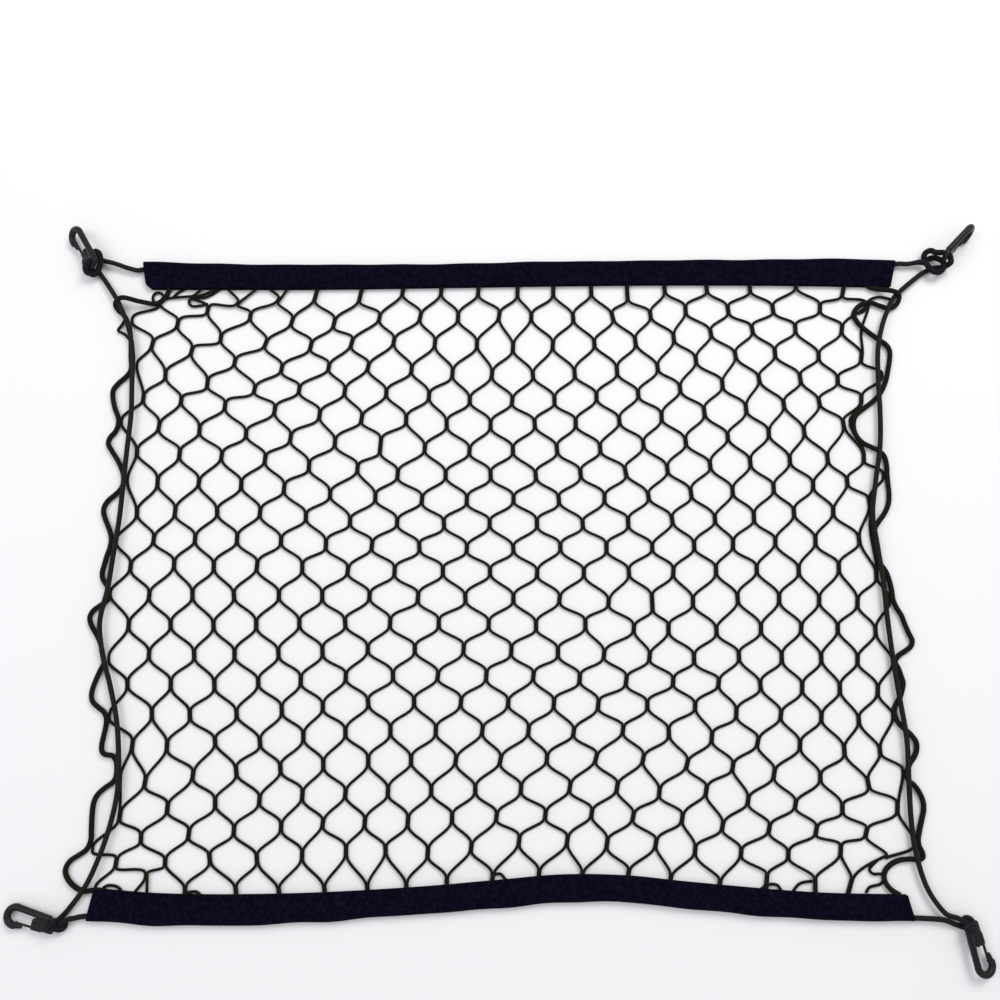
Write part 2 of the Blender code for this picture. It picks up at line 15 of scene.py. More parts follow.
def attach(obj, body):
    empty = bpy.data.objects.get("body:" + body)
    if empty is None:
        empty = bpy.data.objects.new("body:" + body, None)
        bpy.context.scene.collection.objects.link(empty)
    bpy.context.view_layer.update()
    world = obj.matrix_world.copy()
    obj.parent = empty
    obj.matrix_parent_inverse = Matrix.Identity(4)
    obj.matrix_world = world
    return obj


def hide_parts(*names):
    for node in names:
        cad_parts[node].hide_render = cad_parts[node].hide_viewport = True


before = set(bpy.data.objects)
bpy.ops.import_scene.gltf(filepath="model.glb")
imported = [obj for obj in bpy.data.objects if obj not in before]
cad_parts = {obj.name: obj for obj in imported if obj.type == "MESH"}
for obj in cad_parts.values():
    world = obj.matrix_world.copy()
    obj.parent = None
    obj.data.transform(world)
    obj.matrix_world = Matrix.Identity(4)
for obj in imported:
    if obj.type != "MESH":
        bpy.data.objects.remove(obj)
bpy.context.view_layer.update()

bl_info = {
    "name": "Cargo net",
    "version": (1, 0, 0),
    "blender": (4, 5, 0),
    "location": "View3D > Sidebar > Cargo net",
    "description": "Builds a flat cargo net with its cords, webbing sleeves and snap hooks",
    "category": "Add Mesh",
}

MM = 0.001
# The middle of the whole net's box in the tables, where the frame has its origin.
BOX_MIDDLE = (4.36, 2.48)
FINE_STEPS = 12

# --- the camera, in the tables' millimetres ---
CAMERA_PLACE = (-9.0, -71.0, 1037.9)
CAMERA_TILT = math.radians(8.7)
PICTURE = 1000
# The lens is as long as the film is wide, as seen() takes it.
LENS = 36.0
CLIP_START_METRES = 0.01

# --- the mesh ---
# Bars stand where column + row is odd; a strand runs down between each two columns.
MESH_COLUMNS = (-17, -12, -6, 0, 6, 12, 17)
MESH_PLACES = (
    # row, then x and y at each of MESH_COLUMNS
    (-12, (-380, -246, -112, 8, 130, 258, 398), (331, 331, 331, 332, 333, 334, 331)),
    (-10, (-380, -258, -117, 7, 133, 261, 390), (302, 284, 288, 286, 289, 298, 307)),
    (-8, (-384, -269, -127, 4, 138, 264, 379), (263, 233, 231, 223, 230, 247, 240)),
    (-6, (-389, -276, -132, 4, 140, 272, 376), (199, 184, 175, 168, 175, 189, 198)),
    (-4, (-392, -280, -138, 5, 145, 277, 375), (139, 133, 117, 114, 119, 130, 133)),
    (-2, (-389, -283, -141, 5, 148, 278, 378), (75, 75, 65, 62, 65, 72, 86)),
    (0, (-393, -284, -143, 5, 148, 279, 381), (17, 19, 14, 12, 12, 15, 9)),
    (2, (-391, -282, -145, 4, 145, 280, 377), (-42, -42, -40, -42, -49, -45, -48)),
    (4, (-389, -279, -144, 1, 142, 278, 376), (-102, -103, -94, -94, -99, -105, -108)),
    (6, (-381, -276, -142, -4, 139, 273, 375), (-163, -159, -149, -148, -149, -162, -168)),
    (8, (-390, -273, -143, -11, 130, 263, 387), (-228, -218, -209, -206, -205, -219, -228)),
    (10, (-391, -275, -144, -15, 120, 254, 376), (-277, -272, -266, -258, -259, -269, -268)),
    (12, (-400, -268, -140, -19, 113, 249, 384), (-314, -316, -314, -304, -299, -311, -316)),
)
MESH_ROWS = 12
MESH_EDGE = 18
SIDE_JOINS = (
    # row, left x, left y, right x, right y: where the mesh is knitted to the side cords
    (-11, -414, 292, 413, 300),
    (-9, -409, 284, 383, 267),
    (-7, -401, 234, 403, 223),
    (-5, -414, 172, 366, 171),
    (-3, -404, 109, 398, 114),
    (-1, -412, 45, 381, 59),
    (1, -415, -10, 397, -17),
    (3, -413, -76, 396, -80),
    (5, -409, -134, 393, -134),
    (7, -394, -194, 400, -189),
    (9, -418, -264, 407, -258),
    (11, -413, -302, 384, -305),
)
# Bars that stand off the even order, where the photograph shows them, read off it.
ODD_BARS = {
    # row: (column, pixel x, pixel y) of each
    -12: ((-17, 204, 279), (-15, 224, 279), (-13, 263, 279)),
    12: ((-17, 128, 903),),
    -11: ((-16, 191.8, 296.9), (-14, 237.8, 303.5), (-12, 278.3, 300.5), (-10, 315.4, 296.6),
          (-8, 359.9, 297.4), (0, 517.5, 293.5), (6, 627.5, 296), (8, 664.6, 289.5),
          (10, 706.7, 289), (12, 749.9, 289), (16, 842.9, 292.3)),
    -10: ((-17, 158.9, 304.3), (-15, 207.9, 309.6), (-13, 250.5, 315.8), (-11, 292.1, 321.1),
          (-9, 334.2, 323), (-1, 499.2, 315), (1, 531.3, 316.5), (9, 685.6, 309.6),
          (13, 772.9, 308.9), (15, 820, 307.6), (17, 867, 302.5)),
    -9: ((-16, 177.8, 323.4), (-14, 220.9, 338), (-12, 265.8, 343.3), (-10, 310.9, 345.6),
         (-2, 477, 344), (0, 513, 347.2)),
    -8: ((-17, 152.5, 344.1), (-15, 191.8, 350.5), (-13, 234.9, 361.7), (-11, 281.7, 368.6),
         (-9, 328.8, 367), (-7, 368.3, 366.3), (11, 735.4, 354.8), (17, 861.4, 357.5)),
    -7: ((-16, 165.5, 374.7), (-14, 207.5, 383.1), (-12, 254.6, 389.2), (-10, 299.3, 389.2),
         (-8, 344.9, 390.8), (10, 722.4, 383.9), (16, 837.8, 379.7)),
    -6: ((-17, 143.5, 397.7), (-15, 181.3, 400), (-13, 225.1, 405.3), (-11, 274.8, 409.6),
         (-9, 319.7, 414.5), (-3, 446.7, 423.7), (1, 534.7, 423.7), (9, 704.3, 411.4),
         (11, 746.1, 408.4), (15, 819.3, 402)),
    -5: ((-16, 159.1, 426), (-14, 199.6, 429.8), (14, 804.2, 431.3), (16, 843.5, 423.7)),
    -4: ((-7, 357.6, 468), (-5, 397.7, 474.1)),
    -3: ((14, 813.2, 485),),
    -2: ((-15, 175.2, 511.1), (9, 715, 518.9), (15, 833.3, 511.1)),
    -1: ((10, 733.1, 543.9), (16, 859.2, 539.5)),
    0: ((-15, 174.2, 563.7), (15, 838.9, 567.1)),
    1: ((4, 608.6, 602.4), (6, 652.2, 602.4), (8, 693, 601.5)),
    2: ((3, 585.4, 623.9), (5, 633.9, 628.2), (7, 668.5, 628.2)),
    3: ((-14, 194.2, 654.9),),
    4: ((-11, 258.2, 682), (-5, 393, 675.6), (7, 673.2, 681.4), (9, 718.7, 682.7)),
    5: ((-14, 189.9, 714.8), (-10, 281.8, 709.6), (4, 598.3, 704.4), (8, 695.2, 706.2)),
    6: ((-15, 167, 745.8), (-11, 260, 742.3), (-9, 303.4, 736.3), (3, 573.7, 732),
        (9, 711.9, 737.2), (15, 844.4, 750.4)),
    7: ((-16, 145.1, 781.9), (10, 732.9, 766.4), (12, 774.3, 773.3), (16, 868.3, 783.6)),
    8: ((-17, 120, 815.5), (-13, 215.2, 802.6), (3, 569.9, 787.1), (5, 617.2, 787.1),
        (7, 659.4, 792.3), (9, 706.3, 790.5), (15, 842.5, 808.5), (17, 897.6, 807.6)),
    9: ((-10, 281.1, 826.7), (-8, 322.8, 823.3), (2, 545.4, 814.7), (4, 591.8, 812.9),
        (8, 682.3, 818.1), (12, 769.3, 828.4)),
    10: ((-15, 165.2, 862), (-11, 256.9, 858.6), (-9, 302.1, 855.1), (-7, 346, 850.8),
         (-3, 427.8, 852.5), (-1, 471.2, 847.4), (1, 519.1, 840.5), (3, 567.3, 840.5),
         (7, 656, 843.1), (15, 840.8, 850), (17, 885.7, 857)),
    11: ((-16, 146.3, 874.9), (-12, 236, 891.5), (-10, 278.9, 891.5), (-8, 324.5, 890),
         (-6, 367.5, 890), (-4, 406.3, 887.5), (-2, 446.8, 881.5), (0, 492.4, 878),
         (2, 538.9, 874.5), (4, 582, 877.1), (6, 628.4, 874.5), (8, 670.6, 879.7),
         (10, 719.7, 884.9), (12, 767, 878), (14, 815.3, 883.1), (16, 851.9, 880.1)),
}
# Bars shorter or longer than the rest: half length, and the turn of the strands held in them.
BAR_SHAPES = {
    # (column, row): half length, turn
    (-6, -5): (8.5, 0), (6, 1): (8.6, 0), (16, -11): (4.6, 0), (-16, -11): (1.0, -75),
    (-14, -11): (1.6, -25), (-12, -11): (2.0, -20), (-17, -10): (1.2, 20), (17, -10): (1.0, 30),
    (-16, 11): (1.4, 10), (16, 11): (1.4, -25), (17, 10): (1.0, -60),
}
# The strands beside the side cords that start or end short of the sleeves: first and last row,
# and the ends (column, way) that have no tail into a sleeve.
STRAND_ROWS = {-18: (-10, 12), 17: (-10, 10)}
STRAND_ENDS = ((-18, -1), (17, -1), (17, 1))
TAIL = 19.0
TAIL_SPREAD = 2.0
# The last rows' bars hang closer to the sleeves than the even order has them.
SLEEVE_SHIFTS = {-11: 5.0, 11: -8.5}
BAR_HALF_LENGTH = 4.2
BAR_UNEVEN = (0.85, 1.15)
BAR_SCATTER = 0.5
BAR_TILT = 0.05
HELD_SHARE = 0.2
JOIN_HALF_LENGTH = 2.4
JOIN_LAP = 0.6
STRAND_CURL = 0.70
CURL_UNEVEN = (0.8, 1.2)
STRAND_STEPS = 7
BAR_LAP = 0.62
STRAND_LIE = 1.4
SLEEVE_LIE = 2.7
STRAND_SIDES = 7
SIDE_CORD_SIDES = 10
SIDE_CORD_STEP = 2.5

# --- the side cords, in pixels of the photograph ---
SIDE_LIE = 2.4
LEFT_SIDE = (
    # x, y, and the height where it isn't SIDE_LIE
    (170, 286, 2.7), (167, 295, 2.6), (157, 303.5, 3.4), (140, 301.5, 7.5), (122.5, 297.5, 11.4),
    (116.8, 300.5, 7.6), (115.5, 305.5, 2.6), (119, 311), (124.5, 316), (129, 326), (131, 340),
    (131, 356), (131, 370), (126, 377), (119, 383), (113.5, 390), (113, 397), (115, 408),
    (118.5, 418), (118.5, 424), (116, 431), (110, 438), (108.5, 444), (112, 451), (117, 459),
    (121, 467), (123.5, 475), (123.5, 483), (121, 489), (115, 495), (108, 501), (104, 508),
    (104, 514), (107, 523), (110, 531), (111.5, 539), (110, 548), (107, 556), (104.5, 565),
    (102.5, 572), (103, 579), (106, 584), (109, 590), (109, 598), (104, 603), (98, 607), (93, 611),
    (90, 617), (91, 624), (94, 630), (98, 637), (101, 645), (103, 655), (104, 663), (100, 671),
    (96, 680), (93, 688), (91.5, 696), (93, 702), (98, 707), (104, 712), (106.5, 718), (106, 726),
    (104, 735), (102, 744), (102, 751), (105, 754.5), (112, 755.5), (116, 760), (117, 768),
    (116, 777), (113, 782), (106, 787), (99, 793), (95, 799), (93, 807), (92, 818), (91.5, 830),
    (91, 840), (87, 849), (79, 855), (70, 861), (65.5, 870), (68, 879), (74, 886), (83, 891),
    (91, 890.5), (98, 890, 2.6), (104, 892, 2.7),
)
RIGHT_SIDE = (
    (866, 285, 2.7), (870, 287.5, 2.8), (880, 289.5, 4.5), (893, 291, 10.2), (898.5, 294, 9.4),
    (899, 299, 5), (896, 305), (889, 308.5), (880, 306), (869, 302.5, 2.6), (859, 306),
    (853.5, 314), (857, 322), (864, 329), (872, 335), (879, 340), (886, 345), (889.5, 351),
    (889.5, 360), (888, 370), (886, 380), (883, 388), (879, 395), (872, 402), (863, 409),
    (856, 415), (853.5, 422), (854, 430), (857, 437), (863, 443), (871, 447), (879, 451),
    (884, 456), (886.5, 465), (887, 475), (888, 485), (889, 495), (888, 505), (884, 514),
    (879, 521), (875, 528), (873.5, 537), (875, 548), (878, 560), (886, 572), (889, 580),
    (891.5, 590), (893, 600), (896, 607), (901, 615), (905, 625), (909, 634), (912, 640),
    (911, 646), (905, 651), (898, 656), (895, 662), (898, 668), (901, 676), (903, 683), (902, 690),
    (900, 697), (896, 704), (894, 711), (896, 719), (901, 726), (907, 731), (912, 736), (916, 742),
    (916.5, 750), (914, 757), (910, 763), (907, 772), (908, 780), (913, 784), (919, 792),
    (923, 802), (923.5, 810), (921.5, 820), (919.5, 830), (918, 840), (919, 846), (922, 852),
    (923, 857), (919, 859.5), (910, 859), (900, 860), (891, 864), (885, 871), (884, 878),
    (887, 885), (893, 891, 2.6), (900, 895, 2.7),
)
# Single strands that have slipped out of the mesh's own order.
LOOSE_STRANDS = (
    ((161, 303.5), (164, 299), (162.3, 294.4), (157.6, 292.6), (153.4, 295.6), (153.4, 300.6),
     (157.5, 306)),
    ((173.5, 297), (178, 292.8), (184, 289.7), (190, 287)),
    ((126, 318), (122, 325), (118, 330.5), (124, 334), (129, 339)),
    ((867, 302), (872, 298.5), (879, 297), (890, 299)),
    ((866, 303), (865.5, 309), (861, 312.5), (855, 313)),
    ((101, 890), (106, 886), (113, 885.5), (119, 888), (123, 894)),
    ((877.5, 860), (869.5, 869.5), (872.5, 873.7), (882, 874.5), (884, 879.5), (880.5, 884),
     (869.5, 887.3), (866, 893)),
    ((761, 889), (768.8, 884.4), (777.4, 885.3), (782, 892)),
    ((793, 891), (799.8, 883.5), (812, 881)),
    ((493, 875), (500, 873.8), (506, 880)),
    ((220.9, 289), (205.6, 297.4), (191.8, 298.2), (188.9, 301.4), (191.1, 305.8), (199.5, 305.8),
     (208, 304)),
    ((184, 895), (190, 892), (197, 892), (201, 896)),
)
LOOSE_LIE = 1.6
LOOSE_STEP = 2.0

# --- the elastic cord ---
KNOT_STEP = 1.2
RUN_STEP = 4.0
LEADS = (1.8, 3.6)
# Between each sleeve and the knots at its ends, in pixels of the photograph, with heights.
SLEEVE_WAYS = {
    "top": (((116, 263.8, 6.4), (124, 266.8, 5.6), (132, 269.2, 5.0), (139, 270.5, 4.6)),
            ((899, 263.6, 4.6), (906, 264.2, 5.2), (913, 263.2, 6.0))),
    "bottom": (((74, 918.3, 5.4), (79, 917, 5.0), (83.5, 916.5, 4.6)),
               ((920, 918.2, 4.6), (932, 918.8, 5.0), (944, 920, 5.4))),
}
# How far from its fold the cord enters each sleeve, as a share of its width.
SLEEVE_ENTRY = {"top": 0.26, "bottom": 0.147}
KNOT_SWELL = 0.16
SWELL_RINGS = 8
TOO_STEEP = 0.05
RUN_SIDES = 12
KNOT_SIDES = 14
CORD_IN_SLEEVE_Z = 4.4
OVER_MESH_Z = 6.6
LEFT_CORD = (
    (-420, 303), (-412, 286), (-406, 270), (-401, 245), (-400, 213), (-399, 180), (-401, 144),
    (-403, 106), (-405, 68), (-409, 31), (-413, -6), (-419, -40), (-414, -73), (-405, -102),
    (-396, -138), (-392, -172), (-391, -206), (-397, -242), (-407, -274), (-418, -299),
)
RIGHT_CORD = (
    (414, 306), (408, 294), (402, 280), (395, 252), (393, 218), (393, 182), (391, 146),
    (384, 106), (379, 72), (382, 40), (386, 2), (388, -36), (391.5, -78), (396, -118),
    (400.5, -158), (400, -198), (400, -236), (403, -268), (411, -298),
    (420.0, -314), (430.0, -325),
)
LOW = 2.6
HIGH = 8.9
FLAT_KNOT_START = (
    (-18.5, 0.2, 7.0), (-13.2, 1.0, 8.5), (-8.7, 1.9, HIGH), (-2.2, 2.9, 5.9), (5.5, 2.2, LOW),
)
FLAT_KNOT_FINISH = (
    (-3.3, -7.3, HIGH), (-7.3, -2.7, 5.7), (-8.7, 1.9, LOW), (-10.9, 6.5, 2.8),
    (-9.3, 10.9, 4.2), (-4.4, 12.8, 5.6), (1.1, 10.9, 7.0), (4.6, 6.5, 8.4), (5.5, 2.2, HIGH),
    (2.9, -2.7, 5.9), (-3.3, -7.3, LOW), (-9.0, -9.6, LOW), (-15.0, -12.0, 2.8),
)
FLAT_LOOP_OUT = ((-5.6, 2.6, 2.55), (-2.0, 1.2, 2.9))
FLAT_LOOP_BACK = ((-1.8, -1.2, 5.2), (-5.8, -2.6, 5.4))
# The two top knots, in pixels of the photograph, with heights.
TOP_LEFT_START = (
    (107, 261.6, 6.0), (101, 260.2, 3.4), (95, 258.6, 3.0), (89.3, 256.6, 4.4),
    (85.6, 258.8, 7.0), (85.2, 264, 9.0), (88.6, 269.6, 9.6), (92.2, 274.6, 8.2),
    (96.4, 272.8, 8.0), (99.6, 266.5, 9.4), (100.4, 259, 10.6), (98.6, 252.6, 12.0),
    (94.8, 251.4, 13.2),
)
TOP_LEFT_FINISH = (
    (85.4, 266.2, 17.0), (85.8, 270.4, 12.4), (88.6, 273.2, 6.0), (93.6, 271.6, 3.0),
    (98.2, 272.2, 2.8), (102, 276.6, 3.2),
)
TOP_RIGHT_START = (
    (913, 263.2, 6.0), (919.5, 262.2, 6.6), (925, 262.8, 8.0), (928.8, 267, 9.4),
    (933.4, 271.4, 9.2), (939.2, 272.2, 9.0), (943.6, 268, 9.4), (943.2, 262, 9.6),
    (939, 259.2, 7.0), (932.6, 257.8, 4.0), (926.8, 259.6, 3.2), (923.8, 257.6, 4.4),
    (925.6, 252.8, 6.4), (930.6, 250.6, 8.6), (935.6, 252.4, 11.4),
)
TOP_RIGHT_FINISH = (
    (950.6, 258.6, 16.6), (950.8, 262.4, 12.0), (946.2, 265.8, 7.6), (940.6, 267.6, 4.2),
    (935, 268.2, 2.9), (929.4, 269.8, 2.8), (924.4, 272.2, 3.2),
)
EYE_RUN = 3.4
KNOTS = {
    # place: its line up to the eye and on from it, then where a flat knot lies: x, y, turn, size
    "top_left": (TOP_LEFT_START, TOP_LEFT_FINISH),
    "top_right": (TOP_RIGHT_START, TOP_RIGHT_FINISH),
    "bottom_left": (FLAT_KNOT_START, FLAT_KNOT_FINISH, -442.6, -333.6, 205, 0.46),
    "bottom_right": (FLAT_KNOT_START, FLAT_KNOT_FINISH, 450.4, -335.4, -38, 0.48),
}
HOOKS = {
    # place: eye x, y, z, the way it points, pitch, lean (0 stands upright, -90 lies flat),
    # and the side of the eye that the cord comes in by
    "top_left": (-447.4, 344.2, 15.6, 124, -8, -52, 1),
    "top_right": (470.2, 351.6, 18.1, 44.5, -10, 20, -1),
    "bottom_left": (-450.4, -335.0, 8.0, 166.4, -5.2, -90, 1),
    "bottom_right": (453.2, -336.6, 9.0, -75, -0.5, -72, 1),
}

# --- the folded webbing ---
TOP_SLEEVE = (
    # fold x, fold y, open edge x, open edge y
    (-395, 348, -391.5, 318), (-344, 347, -345, 318), (-205, 345, -205, 318), (-68, 346, -68, 320),
    (60, 349, 60, 322), (198, 350, 198, 323), (337, 352, 337, 322), (419, 350, 413, 320),
)
BOTTOM_SLEEVE = (
    # fold x, fold y, open edge x, open edge y
    (-415, -331, -410, -301), (-344, -335, -342, -306), (-218, -334, -218, -306),
    (-94, -325, -94, -300), (-9, -319, -9, -293), (54, -314, 54, -288), (117, -314, 117, -289),
    (179, -320, 179, -295), (304, -330, 304, -305), (398, -332, 393, -307),
)
COARSE_STATIONS = 27
ENTRY_STATIONS = 4
SLEEVE_STATIONS = 313
WEBBING = 1.2
SLEEVE_WIDTH = 30.0
FOLD_RADIUS = 4.4
FOLD_STEPS = 12
OPEN_EDGE_GAP = 3.0
EDGE_BEVEL = 0.4
SLEEVE_FOOT = 20.0
# The upper side of the upper layer: from the fold, height.
UPPER_LAYER = ((9.0, 8.35), (13.5, 7.6), (18.0, 6.75), (22.5, 6.05), (26.5, 5.6))
RIPPLES = 6
RIPPLE_RATES = (0.02, 0.11)
RIPPLE_SIZES = (0.15, 0.42)
RIPPLE_ASIDE = 0.8
RIPPLE_LIFT = 0.35
# The top tape's left end is rounded off at the open edge.
END_ROUND = {"top": 5.5, "bottom": 0.0}
END_ROUND_RUN = 9.0
END_ROUND_POWER = 13

# --- the snap hook, in its own millimetres: along it from its base, across it to its spine ---
EYE_X = 6.2
EYE_RADIUS = 3.4
RING_X = 42.0
RING_RADIUS = 8.6
RING_TURN = 192
RING_SECTION = (6.9, 7.3, 1.0)
# Its bars: start, end, width, thickness, and the share of that which a tapered end keeps.
SPINE = ((6.0, 6.5), (RING_X, RING_RADIUS), 6.5, 6.9)
NECK = ((13.0, 4.5), (20.0, 5.2), 4.0, 4.6)
NOSE = ((40.6, -8.7), (32.6, -7.7), 5.6, 5.0, 3.6 / 5.6)
GATE = ((22.0, -5.6), (40.2, -5.55))
GATE_TIP = ((38.9, -5.2), (40.4, -5.3))
GATE_DEPTH, GATE_TIP_DEPTH = 3.6, 3.8
GATE_TIP_SHARE = 1.25
# Its blocks: middle, half the size each way, and how far the edges are rounded.
BASE = ((8.2, 0.9, 0), (7.8, 7.6, 2.4), 1.5)
BOSS = ((17.4, -2.2, 0), (6.6, 5.7, 2.4), 2.2)
# The dimple and the grooves sunk in both faces: x, y, half the size each way.
FACE_CUTS = (
    (14.6, 2.2, (1.3, 1.3, 0.5)), (17.8, -1.0, (0.35, 3.4, 0.3)),
    (19.2, -1.2, (0.35, 3.0, 0.3)), (20.6, -1.6, (0.35, 2.4, 0.3)),
)
FACE_CUT_EDGE = 0.12
FACE = 2.4
HOOK_GRAIN = 0.32

# --- the floor and the lights, in metres and watts ---
FLOOR_SIZE = 12.0
FLOOR_Z = -0.0004
SKY_COLOUR = (0.95, 0.95, 0.99, 1.0)
SKY_STRENGTH = 0.615
LIGHTS = (
    # name, place, width, power, colour
    ("window", (1.0, 1.75, 2.3), 1.5, 43.5, (1.0, 0.985, 0.96)),
    ("fill", (-1.7, 0.4, 2.4), 1.8, 19.5, (0.97, 0.97, 0.98)),
)


# --- places and smooth lines ---


def metres(point):
    """A place in the tables' millimetres, in the frame's own metres."""
    return Vector(((point[0] - BOX_MIDDLE[0]) * MM, (point[1] - BOX_MIDDLE[1]) * MM, point[2] * MM))


def seen(x, y, height=SIDE_LIE):
    """The place, in the tables' millimetres, that a pixel of the photograph shows at a height."""
    right = (x - PICTURE / 2) / PICTURE
    up = (PICTURE / 2 - y) / PICTURE
    sine, cosine = math.sin(CAMERA_TILT), math.cos(CAMERA_TILT)
    way = Vector((right, sine + up * cosine, up * sine - cosine))
    start = Vector(CAMERA_PLACE)
    return start + way * ((height - start.z) / way.z)


def between(before, start, end, after, share):
    """A place on the smooth curve from start to end, which leans on the points on either side."""
    a, b, c, d = (Vector(point) for point in (before, start, end, after))
    knots = [0.0]
    for first, second in ((a, b), (b, c), (c, d)):
        knots.append(knots[-1] + max((second - first).length, 1e-6) ** 0.5)
    t = knots[1] + share * (knots[2] - knots[1])

    def mix(p, q, low, high):
        return p * ((high - t) / (high - low)) + q * ((t - low) / (high - low))

    ab = mix(a, b, knots[0], knots[1])
    bc = mix(b, c, knots[1], knots[2])
    cd = mix(c, d, knots[2], knots[3])
    return mix(mix(ab, bc, knots[0], knots[2]), mix(bc, cd, knots[1], knots[3]), knots[1], knots[2])


def smooth_at(points, place):
    """The smooth curve through points, read at place, which counts them from 0."""
    last = len(points) - 1
    index = min(int(place), last - 1)
    points = [Vector(point) for point in points]
    start, end = points[index], points[index + 1]
    before = points[index - 1] if index else start * 2 - end
    after = points[index + 2] if index + 2 <= last else end * 2 - start
    return between(before, start, end, after, place - index)


def evenly(points, step):
    """Points about step apart along the smooth curve through points."""
    count = FINE_STEPS * (len(points) - 1)
    fine = [smooth_at(points, n / FINE_STEPS) for n in range(count + 1)]
    reach = [0.0]
    for first, second in zip(fine, fine[1:]):
        reach.append(reach[-1] + (second - first).length)
    count = max(2, round(reach[-1] / step))
    chosen = []
    at = 0
    for n in range(count + 1):
        wanted = reach[-1] * n / count
        while at < len(fine) - 2 and reach[at + 1] < wanted:
            at += 1
        share = (wanted - reach[at]) / (reach[at + 1] - reach[at])
        chosen.append(fine[at].lerp(fine[at + 1], share))
    return chosen


def eased(t):
    """How far a smooth curve has come at t, and its shares of the slopes at its start and end."""
    return t * t * (3 - 2 * t), t * (1 - t) * (1 - t), t * t * (1 - t)


def spread(stops, values, place):
    """A smooth value at place, from values at uneven stops."""
    def slope(n):
        return (values[n + 1] - values[n]) / (stops[n + 1] - stops[n])

    index = 0
    while index < len(stops) - 2 and place > stops[index + 1]:
        index += 1
    width = stops[index + 1] - stops[index]
    rise = slope(index)
    before = slope(index - 1) if index else rise
    after = slope(index + 1) if index + 2 < len(stops) else rise
    into, out = (before + rise) / 2 * width, (rise + after) / 2 * width
    step, leaving, arriving = eased((place - stops[index]) / width)
    return (values[index] * (1 - step) + values[index + 1] * step
            + into * leaving - out * arriving)


# --- materials ---


# The colour sockets of a mix node, by their places in it.
MIX_FIRST, MIX_SECOND, MIX_RESULT = 6, 7, 2
BUMP_STRENGTH = 0.8
# The webbing's weave, in metres.
RIB_PITCH = 0.0024
YARN_PITCH = 0.0011
SWAY_PITCH = 0.0036


class Number:
    """A number that varies over a surface; arithmetic on it adds Math nodes."""

    def __init__(self, finish, socket):
        self.finish = finish
        self.socket = socket

    def maths(self, operation, *values):
        node = self.finish.node("ShaderNodeMath", {"operation": operation},
                                dict(enumerate(values)))
        return Number(self.finish, node.outputs[0])

    def __add__(self, other):
        return self.maths("ADD", self, other)

    def __sub__(self, other):
        return self.maths("SUBTRACT", self, other)

    def __rsub__(self, other):
        return self.maths("SUBTRACT", other, self)

    def __mul__(self, other):
        return self.maths("MULTIPLY", self, other)

    __radd__ = __add__
    __rmul__ = __mul__

    def wave(self):
        """From 0 to 1 and back, once for each 1 that the number grows."""
        return self.maths("SINE", self * math.tau) * 0.5 + 0.5

    def power(self, exponent):
        return self.maths("POWER", self, exponent)

    def most(self, other):
        return self.maths("MAXIMUM", self, other)


class Finish:
    """One material, built up node by node round its main shader."""

    def __init__(self, name, roughness, **constants):
        self.material = bpy.data.materials.new(name)
        self.material.use_nodes = True
        self.tree = self.material.node_tree
        self.shader = self.tree.nodes["Principled BSDF"]
        self.shader.inputs["Roughness"].default_value = roughness
        for socket, value in constants.items():
            self.shader.inputs[socket.replace("_", " ")].default_value = value

    def node(self, kind, settings, sockets):
        made = self.tree.nodes.new(kind)
        for name, value in settings.items():
            setattr(made, name, value)
        for name, value in sockets.items():
            self.feed(made.inputs[name], value)
        return made

    def feed(self, socket, value):
        if isinstance(value, Number):
            value = value.socket
        if isinstance(value, bpy.types.NodeSocket):
            self.tree.links.new(value, socket)
        else:
            socket.default_value = value

    def mix(self, share, first, second):
        """A colour between two."""
        made = self.node("ShaderNodeMix", {"data_type": "RGBA"}, {"Factor": share})
        for place, colour in ((MIX_FIRST, first), (MIX_SECOND, second)):
            linked = isinstance(colour, bpy.types.NodeSocket)
            self.feed(made.inputs[place], colour if linked else (*colour, 1.0))
        return made.outputs[MIX_RESULT]

    def along(self):
        """The piece's own map: metres along it, and the share of the way round a cord or metres
        across the webbing."""
        map_node = self.node("ShaderNodeUVMap", {"uv_map": "along"}, {})
        parts = self.node("ShaderNodeSeparateXYZ", {}, {"Vector": map_node.outputs["UV"]})
        return Number(self, parts.outputs["X"]), Number(self, parts.outputs["Y"])

    def noise(self, scale, detail):
        """Uneven patches, scale of them to the metre."""
        place = self.node("ShaderNodeTexCoord", {}, {}).outputs["Object"]
        made = self.node("ShaderNodeTexNoise", {}, {"Vector": place, "Scale": scale,
                                                    "Detail": detail})
        return Number(self, made.outputs["Fac"])

    def finish(self, colour, height=None, depth=0.0, roughness=None):
        """Joins up the shader's colour and, where they vary, its relief and roughness."""
        self.feed(self.shader.inputs["Base Color"], colour)
        if roughness is not None:
            self.feed(self.shader.inputs["Roughness"], roughness)
        if height is not None:
            bump = self.node("ShaderNodeBump", {}, {"Height": height, "Distance": depth,
                                                    "Strength": BUMP_STRENGTH})
            self.feed(self.shader.inputs["Normal"], bump.outputs["Normal"])
        return self.material


def braided(name, colour, round_count, pitch, depth, roughness):
    """Cord of plaited yarn: round_count yarns lean each way and repeat every pitch metres."""
    look = Finish(name, roughness, Specular_IOR_Level=0.12, Sheen_Weight=0.02, Sheen_Roughness=0.5)
    run, turn = look.along()
    one_way = (run * (1 / pitch) + turn * round_count).wave()
    other_way = (run * (1 / pitch) - turn * round_count).wave()
    plait = one_way.most(other_way)
    wear = look.noise(420.0, 3.0)
    # Painted shade: the plait's grooves between the yarns are darkened to 0.45 of the cord's
    # colour, in step with the bump.
    groove_shade = [part * 0.45 for part in colour]
    pale = [part * 1.7 for part in colour]
    body = look.mix(plait.power(2.0), groove_shade, colour)
    shade = look.mix((wear - 0.35) * 1.2, body, pale)
    return look.finish(shade, height=plait + wear * 0.4, depth=depth)


